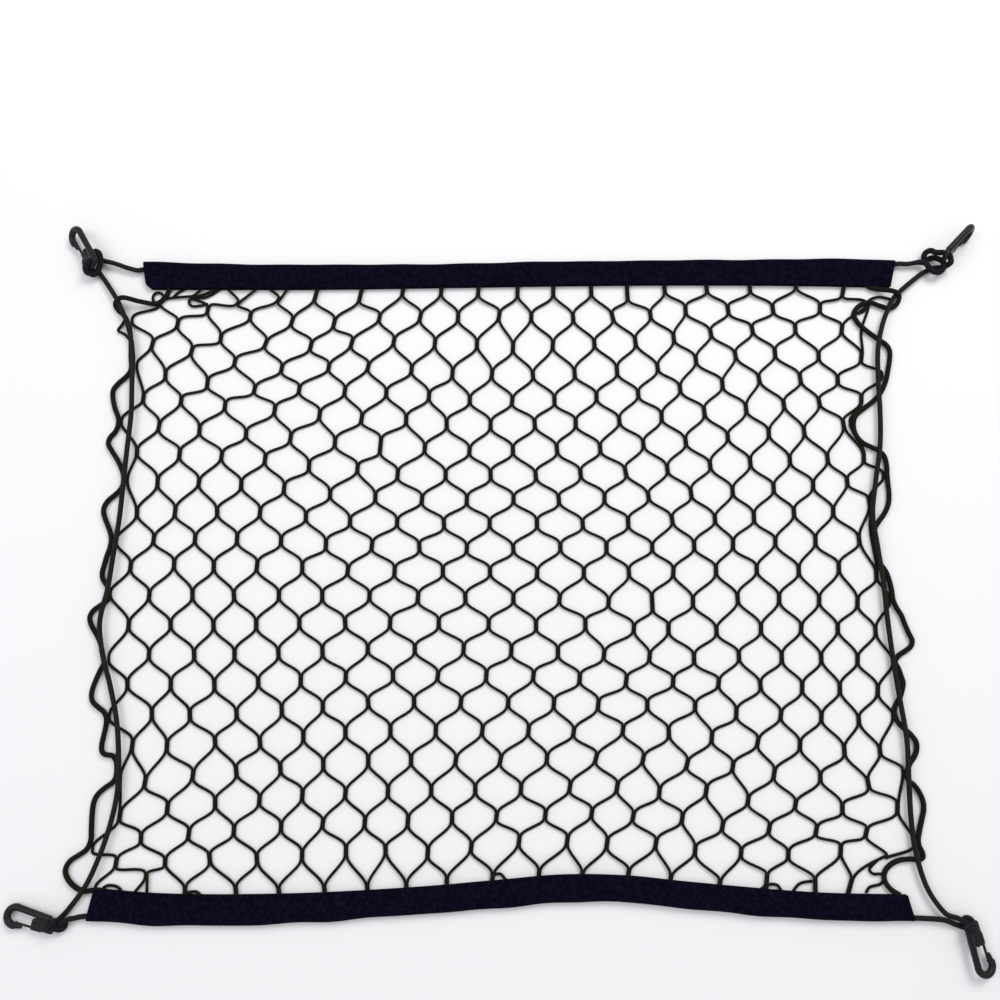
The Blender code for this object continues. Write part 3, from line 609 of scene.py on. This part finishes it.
def mesh_cord_material(colours):
    return braided("mesh cord", colours.mesh_cord, round_count=2, pitch=0.0034, depth=0.00025,
                   roughness=0.85)


def elastic_material(colours):
    return braided("elastic cord", colours.elastic_cord, round_count=4, pitch=0.0042,
                   depth=0.0003, roughness=0.72)


# The knots' colour is the elastic cord's made darker and purpler: painted shade where the loops
# crowd together, with a purple tint.
def shaded_knot_material(colours):
    return braided("elastic cord with painted knot shade", colours.knot, round_count=4, pitch=0.0036,
                   depth=0.0003, roughness=0.78)


def webbing_material(colours):
    """Tape with fine ribs across it, a weave along it and paler worn patches."""
    look = Finish("webbing", 0.9, Specular_IOR_Level=0.045, Sheen_Weight=0.006, Sheen_Roughness=0.5)
    run, across = look.along()
    ribs = (run * (1 / RIB_PITCH)).wave()
    sway = (run * (1 / SWAY_PITCH)).wave() * 0.25
    ends = (across * (1 / YARN_PITCH) + sway).wave()
    weave = ribs * 0.6 + ends * 0.4
    patch = look.noise(260.0, 4.0)
    colour = colours.webbing
    # Painted shade: the grooves between the ribs and the yarns are darkened to 0.35 of the tape's
    # colour, in step with the bump.
    groove_shade = [part * 0.35 for part in colour]
    pale = [part * 3.4 for part in colour]
    body = look.mix(weave, groove_shade, colour)
    shade = look.mix((patch - 0.42) * 2.2, body, pale)
    return look.finish(shade, height=weave + patch * 0.6, depth=0.0004)


def plastic_material(colours):
    """Moulded plastic with a fine spark-worn grain and slightly shinier rubbed patches."""
    look = Finish("hook plastic", 0.38, Specular_IOR_Level=0.24)
    grain = look.noise(2600.0, 2.0)
    rub = look.noise(110.0, 3.0)
    colour = colours.plastic
    shade = look.mix(rub, [part * 0.7 for part in colour], [part * 1.4 for part in colour])
    return look.finish(shade, height=grain, depth=0.00006, roughness=rub * 0.22 + 0.28)


def floor_material(colours):
    look = Finish("pale floor", 0.9)
    patch = look.noise(2.2, 2.0)
    colour = colours.floor
    shade = look.mix(patch, [part * 0.985 for part in colour], colour)
    return look.finish(shade)


# --- building ---


def new_piece(name, points, faces, maps, material):
    """One mesh piece at the origin from points in metres, with its "along" map."""
    mesh = bpy.data.meshes.new(name)
    mesh.from_pydata(points, [], faces)
    values = [value for pair in maps for value in pair]
    mesh.uv_layers.new(name="along").data.foreach_set("uv", values)
    mesh.polygons.foreach_set("use_smooth", [True] * len(faces))
    mesh.materials.append(material)
    mesh.update()
    piece = bpy.data.objects.new(name, mesh)
    bpy.context.scene.collection.objects.link(piece)
    return piece


class Cords:
    """Round cords gathered into one mesh."""

    def __init__(self, sides):
        self.sides = sides
        self.points = []
        self.faces = []
        self.maps = []

    def lay(self, line, thin, swell=0.0):
        """Adds a cord with closed ends along line, in the tables' millimetres, thicker by the
        share swell away from its ends, and nowhere below the ground."""
        line = [Vector(point) for point in line]
        last = len(line) - 1
        first_ring = len(self.points)
        up = Vector((0, 0, 1))
        reach = 0.0
        reaches = []
        for n, place in enumerate(line):
            way = (line[min(n + 1, last)] - line[max(n - 1, 0)]).normalized()
            up = up - way * up.dot(way)
            if up.length < TOO_STEEP:
                up = Vector((way.z, 0, -way.x))
            up.normalize()
            side = up.cross(way)
            radius = thin * (1 + swell * min(1.0, min(n, last - n) / SWELL_RINGS))
            place = Vector((place.x, place.y, max(place.z, radius)))
            for k in range(self.sides):
                turn = math.tau * k / self.sides
                self.points.append(metres(place + side * (radius * math.cos(turn))
                                          + up * (radius * math.sin(turn))))
            if n:
                reach += (place - line[n - 1]).length * MM
            reaches.append(reach)
        sides = self.sides
        for n in range(last):
            low, high = first_ring + n * sides, first_ring + (n + 1) * sides
            for k in range(sides):
                after = (k + 1) % sides
                self.faces.append((low + k, low + after, high + after, high + k))
                start, end = k / sides, (k + 1) / sides
                self.maps += [(reaches[n], start), (reaches[n], end),
                              (reaches[n + 1], end), (reaches[n + 1], start)]
        final = first_ring + last * sides
        self.faces.append(tuple(first_ring + k for k in reversed(range(sides))))
        self.maps += [(0.0, k / sides) for k in reversed(range(sides))]
        self.faces.append(tuple(final + k for k in range(sides)))
        self.maps += [(reach, k / sides) for k in range(sides)]

    def piece(self, name, material):
        return new_piece(name, self.points, self.faces, self.maps, material)


class LaidMesh:
    """The laid-out mesh: where its bars stand and how its strands run between them."""

    def __init__(self, side_radius, strand_radius):
        self.chance = random.Random(7)
        self.joins = {row: (Vector((left_x, left_y, 0)), Vector((right_x, right_y, 0)))
                      for row, left_x, left_y, right_x, right_y in SIDE_JOINS}
        self.inset = side_radius + strand_radius * JOIN_LAP
        self.strand_radius = strand_radius
        self.odd = {(column, row): (x, y) for row, bars in ODD_BARS.items()
                    for column, x, y in bars}
        self.bars = {}
        for row in range(-MESH_ROWS, MESH_ROWS + 1):
            for column in range(-MESH_EDGE, MESH_EDGE + 1):
                if (column + row) % 2:
                    self.bars[column, row] = self.bar(column, row)

    def ground(self, column, row):
        """The cloth's even place at a column and a row."""
        rows = [row_number for row_number, _, _ in MESH_PLACES]
        lines = [spread(MESH_COLUMNS, [Vector((x, y, 0)) for x, y in zip(xs, ys)], column)
                 for _, xs, ys in MESH_PLACES]
        return spread(rows, lines, row)

    def bar(self, column, row):
        """A bar's middle, the way up it, half its length and its strands' height."""
        inside = abs(row) < MESH_ROWS - 1
        lie = STRAND_LIE if inside else SLEEVE_LIE
        if abs(column) == MESH_EDGE:
            if row not in self.joins:
                return None
            left, right = self.joins[row]
            side = -1 if column < 0 else 1
            middle = (left if side < 0 else right) - Vector((side * self.inset, 0, 0))
            middle.z = STRAND_LIE
            return middle, Vector((0, 1, 0)), JOIN_HALF_LENGTH
        middle = self.ground(column, row)
        up = self.ground(column, row - 1) - self.ground(column, row + 1)
        loose = 1.0 if inside else HELD_SHARE
        stray = [self.chance.gauss(0, BAR_SCATTER) for _ in "xy"]
        middle += Vector((*stray, 0)) * loose
        if (column, row) in self.odd:
            middle = seen(*self.odd[column, row], lie)
        elif row in SLEEVE_SHIFTS:
            middle.y += SLEEVE_SHIFTS[row]
        up = up.normalized()
        up.rotate(Matrix.Rotation(self.chance.gauss(0, BAR_TILT) * loose, 3, "Z"))
        middle.z = lie
        half = BAR_HALF_LENGTH * self.chance.uniform(*BAR_UNEVEN)
        half, turn = BAR_SHAPES.get((column, row), (half, 0))
        up.rotate(Matrix.Rotation(math.radians(turn), 3, "Z"))
        return middle, up, half

    def strand(self, column):
        """The strand that runs down between column and the next."""
        stops, rows = [], []
        first, last = STRAND_ROWS.get(column, (-MESH_ROWS, MESH_ROWS))
        for row in range(first, last + 1):
            near = column if (column + row) % 2 else column + 1
            bar = self.bars.get((near, row))
            hidden = abs(row) == MESH_ROWS and (near, row) not in self.odd
            if bar is None or hidden:
                continue
            middle, up, half = bar
            right = Vector((up.y, -up.x, 0))
            offset = right * ((1 if near == column else -1) * self.strand_radius * BAR_LAP)
            if abs(near) == MESH_EDGE:
                offset = Vector()
            stops.append((middle + offset, up, half))
            rows.append(row)
        line = []
        for n, (middle, up, half) in enumerate(stops):
            top = middle + up * half
            foot = middle - up * half
            if line:
                line += self.swing(line[-1], stops[n - 1][1], top, up)
            line += [top, middle, foot]
        if (column, -1) not in STRAND_ENDS and rows[0] > -MESH_ROWS:
            line.insert(0, self.tail(stops[0], line[0], 1))
        if (column, 1) not in STRAND_ENDS and rows[-1] < MESH_ROWS:
            line.append(self.tail(stops[-1], line[-1], -1))
        return line

    def tail(self, stop, end, way):
        """Where a strand ends, hidden in a sleeve beyond its last bar."""
        middle, up, _ = stop
        aside = (end - middle) - up * (end - middle).dot(up)
        place = end + up * (way * TAIL) + aside * TAIL_SPREAD
        place.z = SLEEVE_LIE
        return place

    def swing(self, start, start_up, end, end_up):
        """The strand's free run from the foot of one bar to the top of the next."""
        gap = end - start
        pull = gap.length * STRAND_CURL
        leave = -start_up * pull * self.chance.uniform(*CURL_UNEVEN)
        arrive = -end_up * pull * self.chance.uniform(*CURL_UNEVEN)
        points = []
        for n in range(1, STRAND_STEPS + 1):
            step, leaving, arriving = eased(n / (STRAND_STEPS + 1))
            points.append(start.lerp(end, step) + leave * leaving - arrive * arriving)
        return points


class Corner:
    """One corner: where its knot lies, and where its hook's eye is and how the hook is turned."""

    def __init__(self, place):
        self.start, self.finish, *laid = KNOTS[place]
        eye_x, eye_y, eye_z, direction, pitch, lean, self.entry = HOOKS[place]
        self.flat = bool(laid)
        if self.flat:
            x, y, turn, self.size = laid
            self.middle = Vector((x, y, 0))
            self.turn = Matrix.Rotation(math.radians(turn), 3, "Z")
        self.eye = Vector((eye_x, eye_y, eye_z))
        self.direction = math.radians(direction)
        self.pitch = math.radians(pitch)
        self.lean = math.radians(lean)

    def out(self, point):
        """A place in the knot's own frame or in the photograph, in the net's frame."""
        if not self.flat:
            return seen(*point)
        x, y, z = point
        return self.middle + self.turn @ Vector((x * self.size, y * self.size, z))

    def by_eye(self, point, over_hook=False):
        """A place away from the knot and aside, measured from the eye, at a height from the
        ground or from the middle of the hook's thickness."""
        away, aside, height = point
        line = self.eye - self.middle
        line.z = 0
        line.normalize()
        place = Vector((line.x * away - line.y * aside, line.y * away + line.x * aside, 0))
        if over_hook:
            face = self.hook_frame().col[2]
            height = self.eye.z - (height + face.dot(place)) / face.z
        return Vector((self.eye.x + place.x, self.eye.y + place.y, height))

    def hook_frame(self):
        """The hook's own axes: along it, across it towards its spine, and through it."""
        level = Vector((math.cos(self.direction), math.sin(self.direction), 0))
        along = level * math.cos(self.pitch) + Vector((0, 0, math.sin(self.pitch)))
        aside = Vector((level.y, -level.x, 0))
        face = aside * math.cos(self.lean) + Vector((0, 0, math.sin(self.lean)))
        face = (face - along * face.dot(along)).normalized()
        across = face.cross(along)
        return Matrix((along, across, along.cross(across))).transposed()

    def hook_place(self):
        """Where the hook's own metres go."""
        turned = self.hook_frame()
        base = self.eye - turned @ Vector((EYE_X, 0, 0))
        return Matrix.Translation(metres(base)) @ turned.to_4x4()

    def knot(self):
        """The whole knot's line, from the end at its sleeve to the end at its side."""
        start = [self.out(point) for point in self.start]
        finish = [self.out(point) for point in self.finish]
        if self.flat:
            start += [self.by_eye(point) for point in FLAT_LOOP_OUT]
            finish = [self.by_eye(point, over_hook=True) for point in FLAT_LOOP_BACK] + finish
        run = self.hook_frame().col[2] * EYE_RUN * self.entry
        return start + [self.eye + run, self.eye, self.eye - run] + finish


def cord_in_sleeve(table, entry):
    """The elastic cord's line inside a sleeve that it enters at a share of its width."""
    share = FOLD_RADIUS / SLEEVE_WIDTH
    line = []
    for n in range(COARSE_STATIONS):
        fold, edge = sleeve_place(table, n / (COARSE_STATIONS - 1))
        place = fold.lerp(edge, share + (entry - share) * max(0.0, 1 - n / ENTRY_STATIONS) ** 2)
        line.append(Vector((place.x, place.y, CORD_IN_SLEEVE_Z)))
    return line


def sleeve_place(table, share):
    """A sleeve's fold and its open edge, at a share of the way along it."""
    place = (len(table) - 1) * share
    fold = smooth_at([(fold_x, fold_y, 0) for fold_x, fold_y, _, _ in table], place)
    edge = smooth_at([(edge_x, edge_y, 0) for _, _, edge_x, edge_y in table], place)
    return fold, edge


def elastic_lines():
    """The elastic cord's knots and the four runs between them, from end to end."""
    knots = {place: evenly(Corner(place).knot(), KNOT_STEP) for place in KNOTS}

    def leads(place, end):
        line = knots[place]
        last, before = (line[0], line[1]) if end == "sleeve" else (line[-1], line[-2])
        way = (last - before).normalized()
        return [last] + [last + way * reach for reach in LEADS]

    def over_mesh(first, first_end, second, second_end, table):
        middle = [Vector((x, y, OVER_MESH_Z)) for x, y in table]
        return evenly([*leads(first, first_end), *middle, *reversed(leads(second, second_end))],
                      RUN_STEP)

    def in_sleeve(first, first_end, second, second_end, side, table):
        before, after = ([seen(*way) for way in ways] for ways in SLEEVE_WAYS[side])
        into, out = leads(first, first_end)[:2], leads(second, second_end)[:2]
        middle = cord_in_sleeve(table, SLEEVE_ENTRY[side])
        return evenly([*into, *before, *middle, *after, *reversed(out)], RUN_STEP)

    runs = {
        "top": in_sleeve("top_left", "sleeve", "top_right", "sleeve", "top", TOP_SLEEVE),
        "bottom": in_sleeve("bottom_left", "sleeve", "bottom_right", "side", "bottom",
                            BOTTOM_SLEEVE),
        "left": over_mesh("top_left", "side", "bottom_left", "side", LEFT_CORD),
        "right": over_mesh("top_right", "side", "bottom_right", "sleeve", RIGHT_CORD),
    }
    return knots, runs


def deselect_all():
    bpy.ops.object.select_all(action="DESELECT")


def take(piece):
    """Makes piece the one selected and active object."""
    deselect_all()
    piece.select_set(True)
    bpy.context.view_layer.objects.active = piece


def apply_place():
    """Bakes the selected objects' places, turns and sizes into their meshes."""
    bpy.ops.object.transform_apply(location=True, rotation=True, scale=True)


def apply_modifier(piece, kind, **settings):
    """Adds a modifier to the active piece and makes its result the mesh."""
    made = piece.modifiers.new(kind.lower(), kind)
    for name, value in settings.items():
        setattr(made, name, value)
    bpy.ops.object.modifier_apply(modifier=made.name)


@contextlib.contextmanager
def editing(chosen=None):
    """The active mesh open for editing, with all of it selected, or only the chosen points."""
    bpy.ops.object.mode_set(mode="EDIT")
    bpy.ops.mesh.select_all(action="DESELECT" if chosen else "SELECT")
    if chosen:
        bpy.ops.object.mode_set(mode="OBJECT")
        for point in bpy.context.active_object.data.vertices:
            point.select = chosen(point.co)
        bpy.ops.object.mode_set(mode="EDIT")
    yield
    bpy.ops.object.mode_set(mode="OBJECT")


def finish_piece(piece, slot, *nodes):
    """Hangs a new piece on the part's root and hides the parts it stands for; slot is not used."""
    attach(piece, "root")
    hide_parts(*nodes)


# --- sizes and colours ---


def length(name, description, default):
    return bpy.props.FloatProperty(name=name, description=description, default=default,
                                   min=0.0005, max=0.05, unit="LENGTH")


def colour(name, description, default):
    return bpy.props.FloatVectorProperty(name=name, description=description, default=default,
                                         subtype="COLOR", size=3, min=0.0, max=1.0)


class CargoNetSizes(bpy.types.PropertyGroup):
    strand: length("Mesh strand", "Thickness of the strands of the mesh", 0.0030)
    side_cord: length("Side cord", "Thickness of the cord down each side of the mesh", 0.0053)
    elastic: length("Elastic cord", "Thickness of the elastic cord and its knots", 0.0052)
    gate: length("Hook gate", "Thickness of the springy gate of each hook", 0.0020)


class CargoNetColours(bpy.types.PropertyGroup):
    mesh_cord: colour("Mesh cord", "Colour of the mesh and the side cords",
                      (0.0085, 0.0080, 0.0045))
    elastic_cord: colour("Elastic cord", "Colour of the elastic cord", (0.0120, 0.0118, 0.0085))
    # Painted shade: the knots' colour is darker and purpler than the elastic cord's, for the shade
    # where the loops crowd together, with a purple tint.
    knot: colour("Knots", "Colour of the elastic cord where it is slack in a knot",
                 (0.0100, 0.0082, 0.0118))
    webbing: colour("Webbing", "Colour of the two sleeves", (0.0030, 0.0016, 0.0082))
    plastic: colour("Hook plastic", "Colour of the snap hooks", (0.0075, 0.0062, 0.0088))
    floor: colour("Floor", "Colour of the floor", (0.90, 0.90, 0.91))


class CargoNetOperator:
    """A step of the build that reads the scene's own sizes and colours."""
    bl_options = {"REGISTER", "UNDO"}

    def execute(self, context):
        self.build(context, context.scene.cargo_net_sizes, context.scene.cargo_net_colours)
        return {"FINISHED"}


class CARGO_NET_OT_camera(CargoNetOperator, bpy.types.Operator):
    """Set up the camera where the photograph was taken from"""
    bl_idname = "cargo_net.camera"
    bl_label = "Camera"

    def build(self, context, sizes, colours):
        data = bpy.data.cameras.new("camera")
        data.lens = data.sensor_width = LENS
        data.sensor_fit = "HORIZONTAL"
        data.clip_start = CLIP_START_METRES
        camera = bpy.data.objects.new("camera", data)
        camera.location = metres(CAMERA_PLACE)
        camera.rotation_euler = (CAMERA_TILT, 0, 0)
        context.scene.collection.objects.link(camera)
        context.scene.camera = camera


class CARGO_NET_OT_elastic_cord(CargoNetOperator, bpy.types.Operator):
    """Lay the elastic cord and tie its knot at each corner"""
    bl_idname = "cargo_net.elastic_cord"
    bl_label = "Elastic cord"

    def build(self, context, sizes, colours):
        material = elastic_material(colours)
        radius = sizes.elastic / MM / 2
        knots, runs = elastic_lines()
        for side, line in runs.items():
            cords = Cords(RUN_SIDES)
            cords.lay(line, radius)
            piece = cords.piece(f"elastic_cord_{side}", material)
            finish_piece(piece, "elastic_cord", f"bungee_{side}")
            if side in ("left", "right"):
                path = [metres(point) for point in line]
        material = shaded_knot_material(colours)
        for place, line in knots.items():
            cords = Cords(KNOT_SIDES)
            cords.lay(line, radius, KNOT_SWELL)
            piece = cords.piece(f"cord_knot_{place}", material)
            finish_piece(piece, "elastic_cord", f"knot_{place}")


class CARGO_NET_OT_mesh(CargoNetOperator, bpy.types.Operator):
    """Knit the knotless mesh, strand by strand"""
    bl_idname = "cargo_net.mesh"
    bl_label = "Mesh"

    def build(self, context, sizes, colours):
        radius = sizes.strand / MM / 2
        side_radius = sizes.side_cord / MM / 2
        laid = LaidMesh(side_radius, radius)
        cords = Cords(STRAND_SIDES)
        for column in range(-MESH_EDGE, MESH_EDGE):
            cords.lay(laid.strand(column), radius)
        for pixels in LOOSE_STRANDS:
            cords.lay(evenly([seen(x, y, LOOSE_LIE) for x, y in pixels], LOOSE_STEP), radius)
        material = mesh_cord_material(colours)
        finish_piece(cords.piece("knotless_mesh", material), "mesh_cord", "net")
        for side, pixels in (("left", LEFT_SIDE), ("right", RIGHT_SIDE)):
            cords = Cords(SIDE_CORD_SIDES)
            cords.lay(evenly([seen(*point) for point in pixels], SIDE_CORD_STEP), side_radius)
            finish_piece(cords.piece(f"side_cord_{side}", material), "mesh_cord", "net")


class CARGO_NET_OT_sleeves(CargoNetOperator, bpy.types.Operator):
    """Fold the two webbing sleeves over the ends of the mesh"""
    bl_idname = "cargo_net.sleeves"
    bl_label = "Webbing sleeves"

    def build(self, context, sizes, colours):
        material = webbing_material(colours)
        for side, table, seed in (("top", TOP_SLEEVE, 3), ("bottom", BOTTOM_SLEEVE, 5)):
            piece = self.sleeve(f"webbing_sleeve_{side}", table, seed, END_ROUND[side], material)
            finish_piece(piece, "webbing", f"sleeve_{side}")

    def section(self):
        """The way round the folded webbing's section: (from the fold, height), in order."""
        outer, inner = [], []
        hollow = FOLD_RADIUS - WEBBING
        for step in range(FOLD_STEPS + 1):
            turn = math.radians(-90 - 180 * step / FOLD_STEPS)
            outer.append((FOLD_RADIUS * (1 + math.cos(turn)), FOLD_RADIUS * (1 + math.sin(turn))))
            inner.append((FOLD_RADIUS + hollow * math.cos(turn),
                          FOLD_RADIUS + hollow * math.sin(turn)))
        top = WEBBING + OPEN_EDGE_GAP
        rim = SLEEVE_WIDTH - EDGE_BEVEL
        upper = [*UPPER_LAYER, (rim, top + WEBBING), (SLEEVE_WIDTH, top + WEBBING * 0.5)]
        under = [(rim, top)] + [(distance, round(height - WEBBING, 2))
                                for distance, height in reversed(UPPER_LAYER)]
        lower = [(SLEEVE_FOOT, WEBBING), (rim, WEBBING), (SLEEVE_WIDTH, WEBBING * 0.5), (rim, 0.0)]
        return [(SLEEVE_FOOT, 0.0), *outer, *upper, *under, *reversed(inner), *lower]

    def sleeve(self, name, table, seed, end_round, material):
        """A sleeve along table: the section at each station, with small ripples, and its ends."""
        section = self.section()
        count = len(section)
        chance = random.Random(seed)
        ripples = [(chance.uniform(*RIPPLE_RATES), chance.uniform(0, math.tau),
                    chance.uniform(*RIPPLE_SIZES)) for _ in range(RIPPLES)]
        points, reaches = [], []
        reach = 0.0
        previous = None
        for n in range(SLEEVE_STATIONS):
            share = n / (SLEEVE_STATIONS - 1)
            fold, edge = sleeve_place(table, share)
            across = (edge - fold) / SLEEVE_WIDTH
            if previous is not None:
                reach += (fold - previous).length * MM
            previous = fold
            reaches.append(reach)
            at = reach / MM
            ripple = sum(size * math.sin(at * rate + start) for rate, start, size in ripples)
            corner = end_round * max(0.0, 1 - at / END_ROUND_RUN)
            for distance, height in section:
                high = height / (2 * FOLD_RADIUS)
                wave = ripple * (1 - distance / SLEEVE_WIDTH) * RIPPLE_ASIDE
                lift = ripple * RIPPLE_LIFT * high * (distance / SLEEVE_WIDTH)
                place = fold + across * (distance + wave)
                inward = corner * (distance / SLEEVE_WIDTH) ** END_ROUND_POWER
                points.append(metres((place.x + inward, place.y, max(0.0, height + lift))))
        widths = [0.0]
        for (a, b), (c, d) in zip(section, section[1:] + section[:1]):
            widths.append(widths[-1] + math.hypot(c - a, d - b) * MM)
        faces = [tuple(range(count)), tuple(reversed(range(len(points) - count, len(points))))]
        maps = [(0.0, widths[n]) for n in range(count)]
        maps += [(reach, widths[n]) for n in reversed(range(count))]
        for station in range(SLEEVE_STATIONS - 1):
            first = station * count
            for n in range(count):
                after = (n + 1) % count
                faces.append((first + n, first + count + n, first + count + after, first + after))
                maps += [(reaches[station], widths[n]), (reaches[station + 1], widths[n]),
                         (reaches[station + 1], widths[n + 1]), (reaches[station], widths[n + 1])]
        piece = new_piece(name, points, faces, maps, material)
        take(piece)
        with editing():
            bpy.ops.mesh.normals_make_consistent(inside=False)
        return piece


class CARGO_NET_OT_hooks(CargoNetOperator, bpy.types.Operator):
    """Mould one snap hook and clip a copy of it on at each corner"""
    bl_idname = "cargo_net.hooks"
    bl_label = "Snap hooks"

    def build(self, context, sizes, colours):
        material = plastic_material(colours)
        pattern = self.mould(sizes.gate / MM)
        for place in KNOTS:
            hook = pattern.copy()
            hook.data = pattern.data.copy()
            hook.name = f"snap_hook_{place}"
            context.scene.collection.objects.link(hook)
            hook.data.materials.clear()
            hook.data.materials.append(material)
            hook.matrix_world = Corner(place).hook_place()
            take(hook)
            apply_place()
            finish_piece(hook, "hook_plastic", f"hook_{place}")
        bpy.data.objects.remove(pattern, do_unlink=True)

    def bar(self, start, end, width, thickness, taper=None):
        """A round-edged bar between two places in the hook's own millimetres."""
        start, end = Vector((*start, 0)), Vector((*end, 0))
        way = end - start
        middle = (start + end) / 2
        deselect_all()
        bpy.ops.mesh.primitive_cylinder_add(
            vertices=24, radius=MM / 2, depth=way.length * MM, location=middle * MM,
            rotation=(math.pi / 2, 0, math.atan2(way.y, way.x) + math.pi / 2))
        made = bpy.context.active_object
        made.scale = (width, thickness, 1.0)
        apply_place()
        if taper is not None:
            with editing(lambda place: (place / MM - middle).dot(way) > 0):
                bpy.ops.transform.resize(value=(taper, taper, taper), center_override=end * MM)
        return made

    def lump(self, place, half, edge):
        """A block with well rounded edges, half its size each way from place."""
        deselect_all()
        bpy.ops.mesh.primitive_cube_add(size=2 * MM, location=Vector(place) * MM)
        made = bpy.context.active_object
        made.scale = half
        apply_place()
        with editing():
            bpy.ops.mesh.bevel(offset=edge * MM, segments=4, affect="EDGES")
        return made

    def ring(self):
        """The ring: the limb's round section, spun about the ring's middle."""
        deselect_all()
        bpy.ops.mesh.primitive_circle_add(
            vertices=24, radius=MM / 2, fill_type="NOTHING",
            location=(RING_X * MM, RING_RADIUS * MM, 0), rotation=(0, math.pi / 2, 0))
        made = bpy.context.active_object
        made.scale = RING_SECTION
        apply_place()
        with editing():
            bpy.ops.mesh.spin(steps=30, angle=math.radians(RING_TURN),
                              center=(RING_X * MM, 0, 0), axis=(0, 0, 1))
            bpy.ops.mesh.select_all(action="DESELECT")
            bpy.ops.mesh.select_non_manifold()
            bpy.ops.mesh.edge_face_add()
            bpy.ops.mesh.select_all(action="SELECT")
            bpy.ops.mesh.normals_make_consistent(inside=False)
        return made

    def cut(self, piece, cutter):
        """Takes cutter out of piece and removes it."""
        take(piece)
        apply_modifier(piece, "BOOLEAN", operation="DIFFERENCE", solver="EXACT", object=cutter)
        bpy.data.objects.remove(cutter, do_unlink=True)

    def mould(self, gate):
        """The whole moulding, its eye at EYE_X, with a gate of this thickness."""
        parts = [
            self.bar(*SPINE), self.bar(*NECK), self.ring(), self.bar(*NOSE),
            self.lump(*BASE), self.lump(*BOSS), self.bar(*GATE, gate, GATE_DEPTH),
            self.bar(*GATE_TIP, gate * GATE_TIP_SHARE, GATE_TIP_DEPTH),
        ]
        deselect_all()
        for part in parts:
            part.select_set(True)
        bpy.context.view_layer.objects.active = parts[0]
        bpy.ops.object.join()
        hook = bpy.context.active_object
        hook.name = "snap_hook"
        apply_modifier(hook, "REMESH", mode="VOXEL", voxel_size=HOOK_GRAIN * MM)
        apply_modifier(hook, "SMOOTH", factor=0.5, iterations=6)
        deselect_all()
        bpy.ops.mesh.primitive_cylinder_add(vertices=32, radius=EYE_RADIUS * MM, depth=12 * MM,
                                            location=(EYE_X * MM, 0, 0))
        self.cut(hook, bpy.context.active_object)
        for x, y, half in FACE_CUTS:
            for face in (-FACE, FACE):
                self.cut(hook, self.lump((x, y, face), half, FACE_CUT_EDGE))
        take(hook)
        bpy.ops.object.shade_smooth_by_angle(angle=math.radians(35))
        return hook


class CARGO_NET_OT_stage(CargoNetOperator, bpy.types.Operator):
    """Lay a plain pale floor and light it softly"""
    bl_idname = "cargo_net.stage"
    bl_label = "Floor and lights"

    def build(self, context, sizes, colours):
        deselect_all()
        bpy.ops.mesh.primitive_plane_add(size=FLOOR_SIZE, location=(0, 0, FLOOR_Z))
        floor = context.active_object
        floor.name = "floor"
        apply_place()
        floor.data.materials.append(floor_material(colours))
        world = bpy.data.worlds.new("studio")
        world.use_nodes = True
        background = world.node_tree.nodes["Background"]
        background.inputs["Color"].default_value = SKY_COLOUR
        background.inputs["Strength"].default_value = SKY_STRENGTH
        context.scene.world = world
        context.scene.view_settings.view_transform = "Standard"
        for light in LIGHTS:
            self.light(context, *light)

    def light(self, context, name, place, size, power, colour):
        """A round soft light at place that points at the middle of the net."""
        data = bpy.data.lights.new(name, "AREA")
        data.shape = "DISK"
        data.size = size
        data.energy = power
        data.color = colour
        lamp = bpy.data.objects.new(name, data)
        lamp.location = place
        lamp.rotation_euler = (-Vector(place)).to_track_quat("-Z", "Y").to_euler()
        context.scene.collection.objects.link(lamp)


OPERATORS = (
    CARGO_NET_OT_camera,
    CARGO_NET_OT_elastic_cord,
    CARGO_NET_OT_mesh,
    CARGO_NET_OT_sleeves,
    CARGO_NET_OT_hooks,
    CARGO_NET_OT_stage,
)


class VIEW3D_PT_cargo_net(bpy.types.Panel):
    """The cargo net's steps, sizes and colours"""
    bl_label = "Cargo net"
    bl_space_type = "VIEW_3D"
    bl_region_type = "UI"
    bl_category = "Cargo net"

    def draw(self, context):
        for operator in OPERATORS:
            self.layout.operator(operator.bl_idname)
        for group in (context.scene.cargo_net_sizes, context.scene.cargo_net_colours):
            for name in group.__annotations__:
                self.layout.prop(group, name)


CLASSES = (CargoNetSizes, CargoNetColours, *OPERATORS, VIEW3D_PT_cargo_net)


def register():
    for made in CLASSES:
        bpy.utils.register_class(made)
    bpy.types.Scene.cargo_net_sizes = bpy.props.PointerProperty(type=CargoNetSizes)
    bpy.types.Scene.cargo_net_colours = bpy.props.PointerProperty(type=CargoNetColours)


def unregister():
    del bpy.types.Scene.cargo_net_colours
    del bpy.types.Scene.cargo_net_sizes
    for made in reversed(CLASSES):
        bpy.utils.unregister_class(made)


def main():
    register()
    bpy.ops.cargo_net.camera()
    bpy.ops.cargo_net.elastic_cord()
    bpy.ops.cargo_net.mesh()
    bpy.ops.cargo_net.sleeves()
    bpy.ops.cargo_net.hooks()
    bpy.ops.cargo_net.stage()


if __name__ == "__main__":
    main()
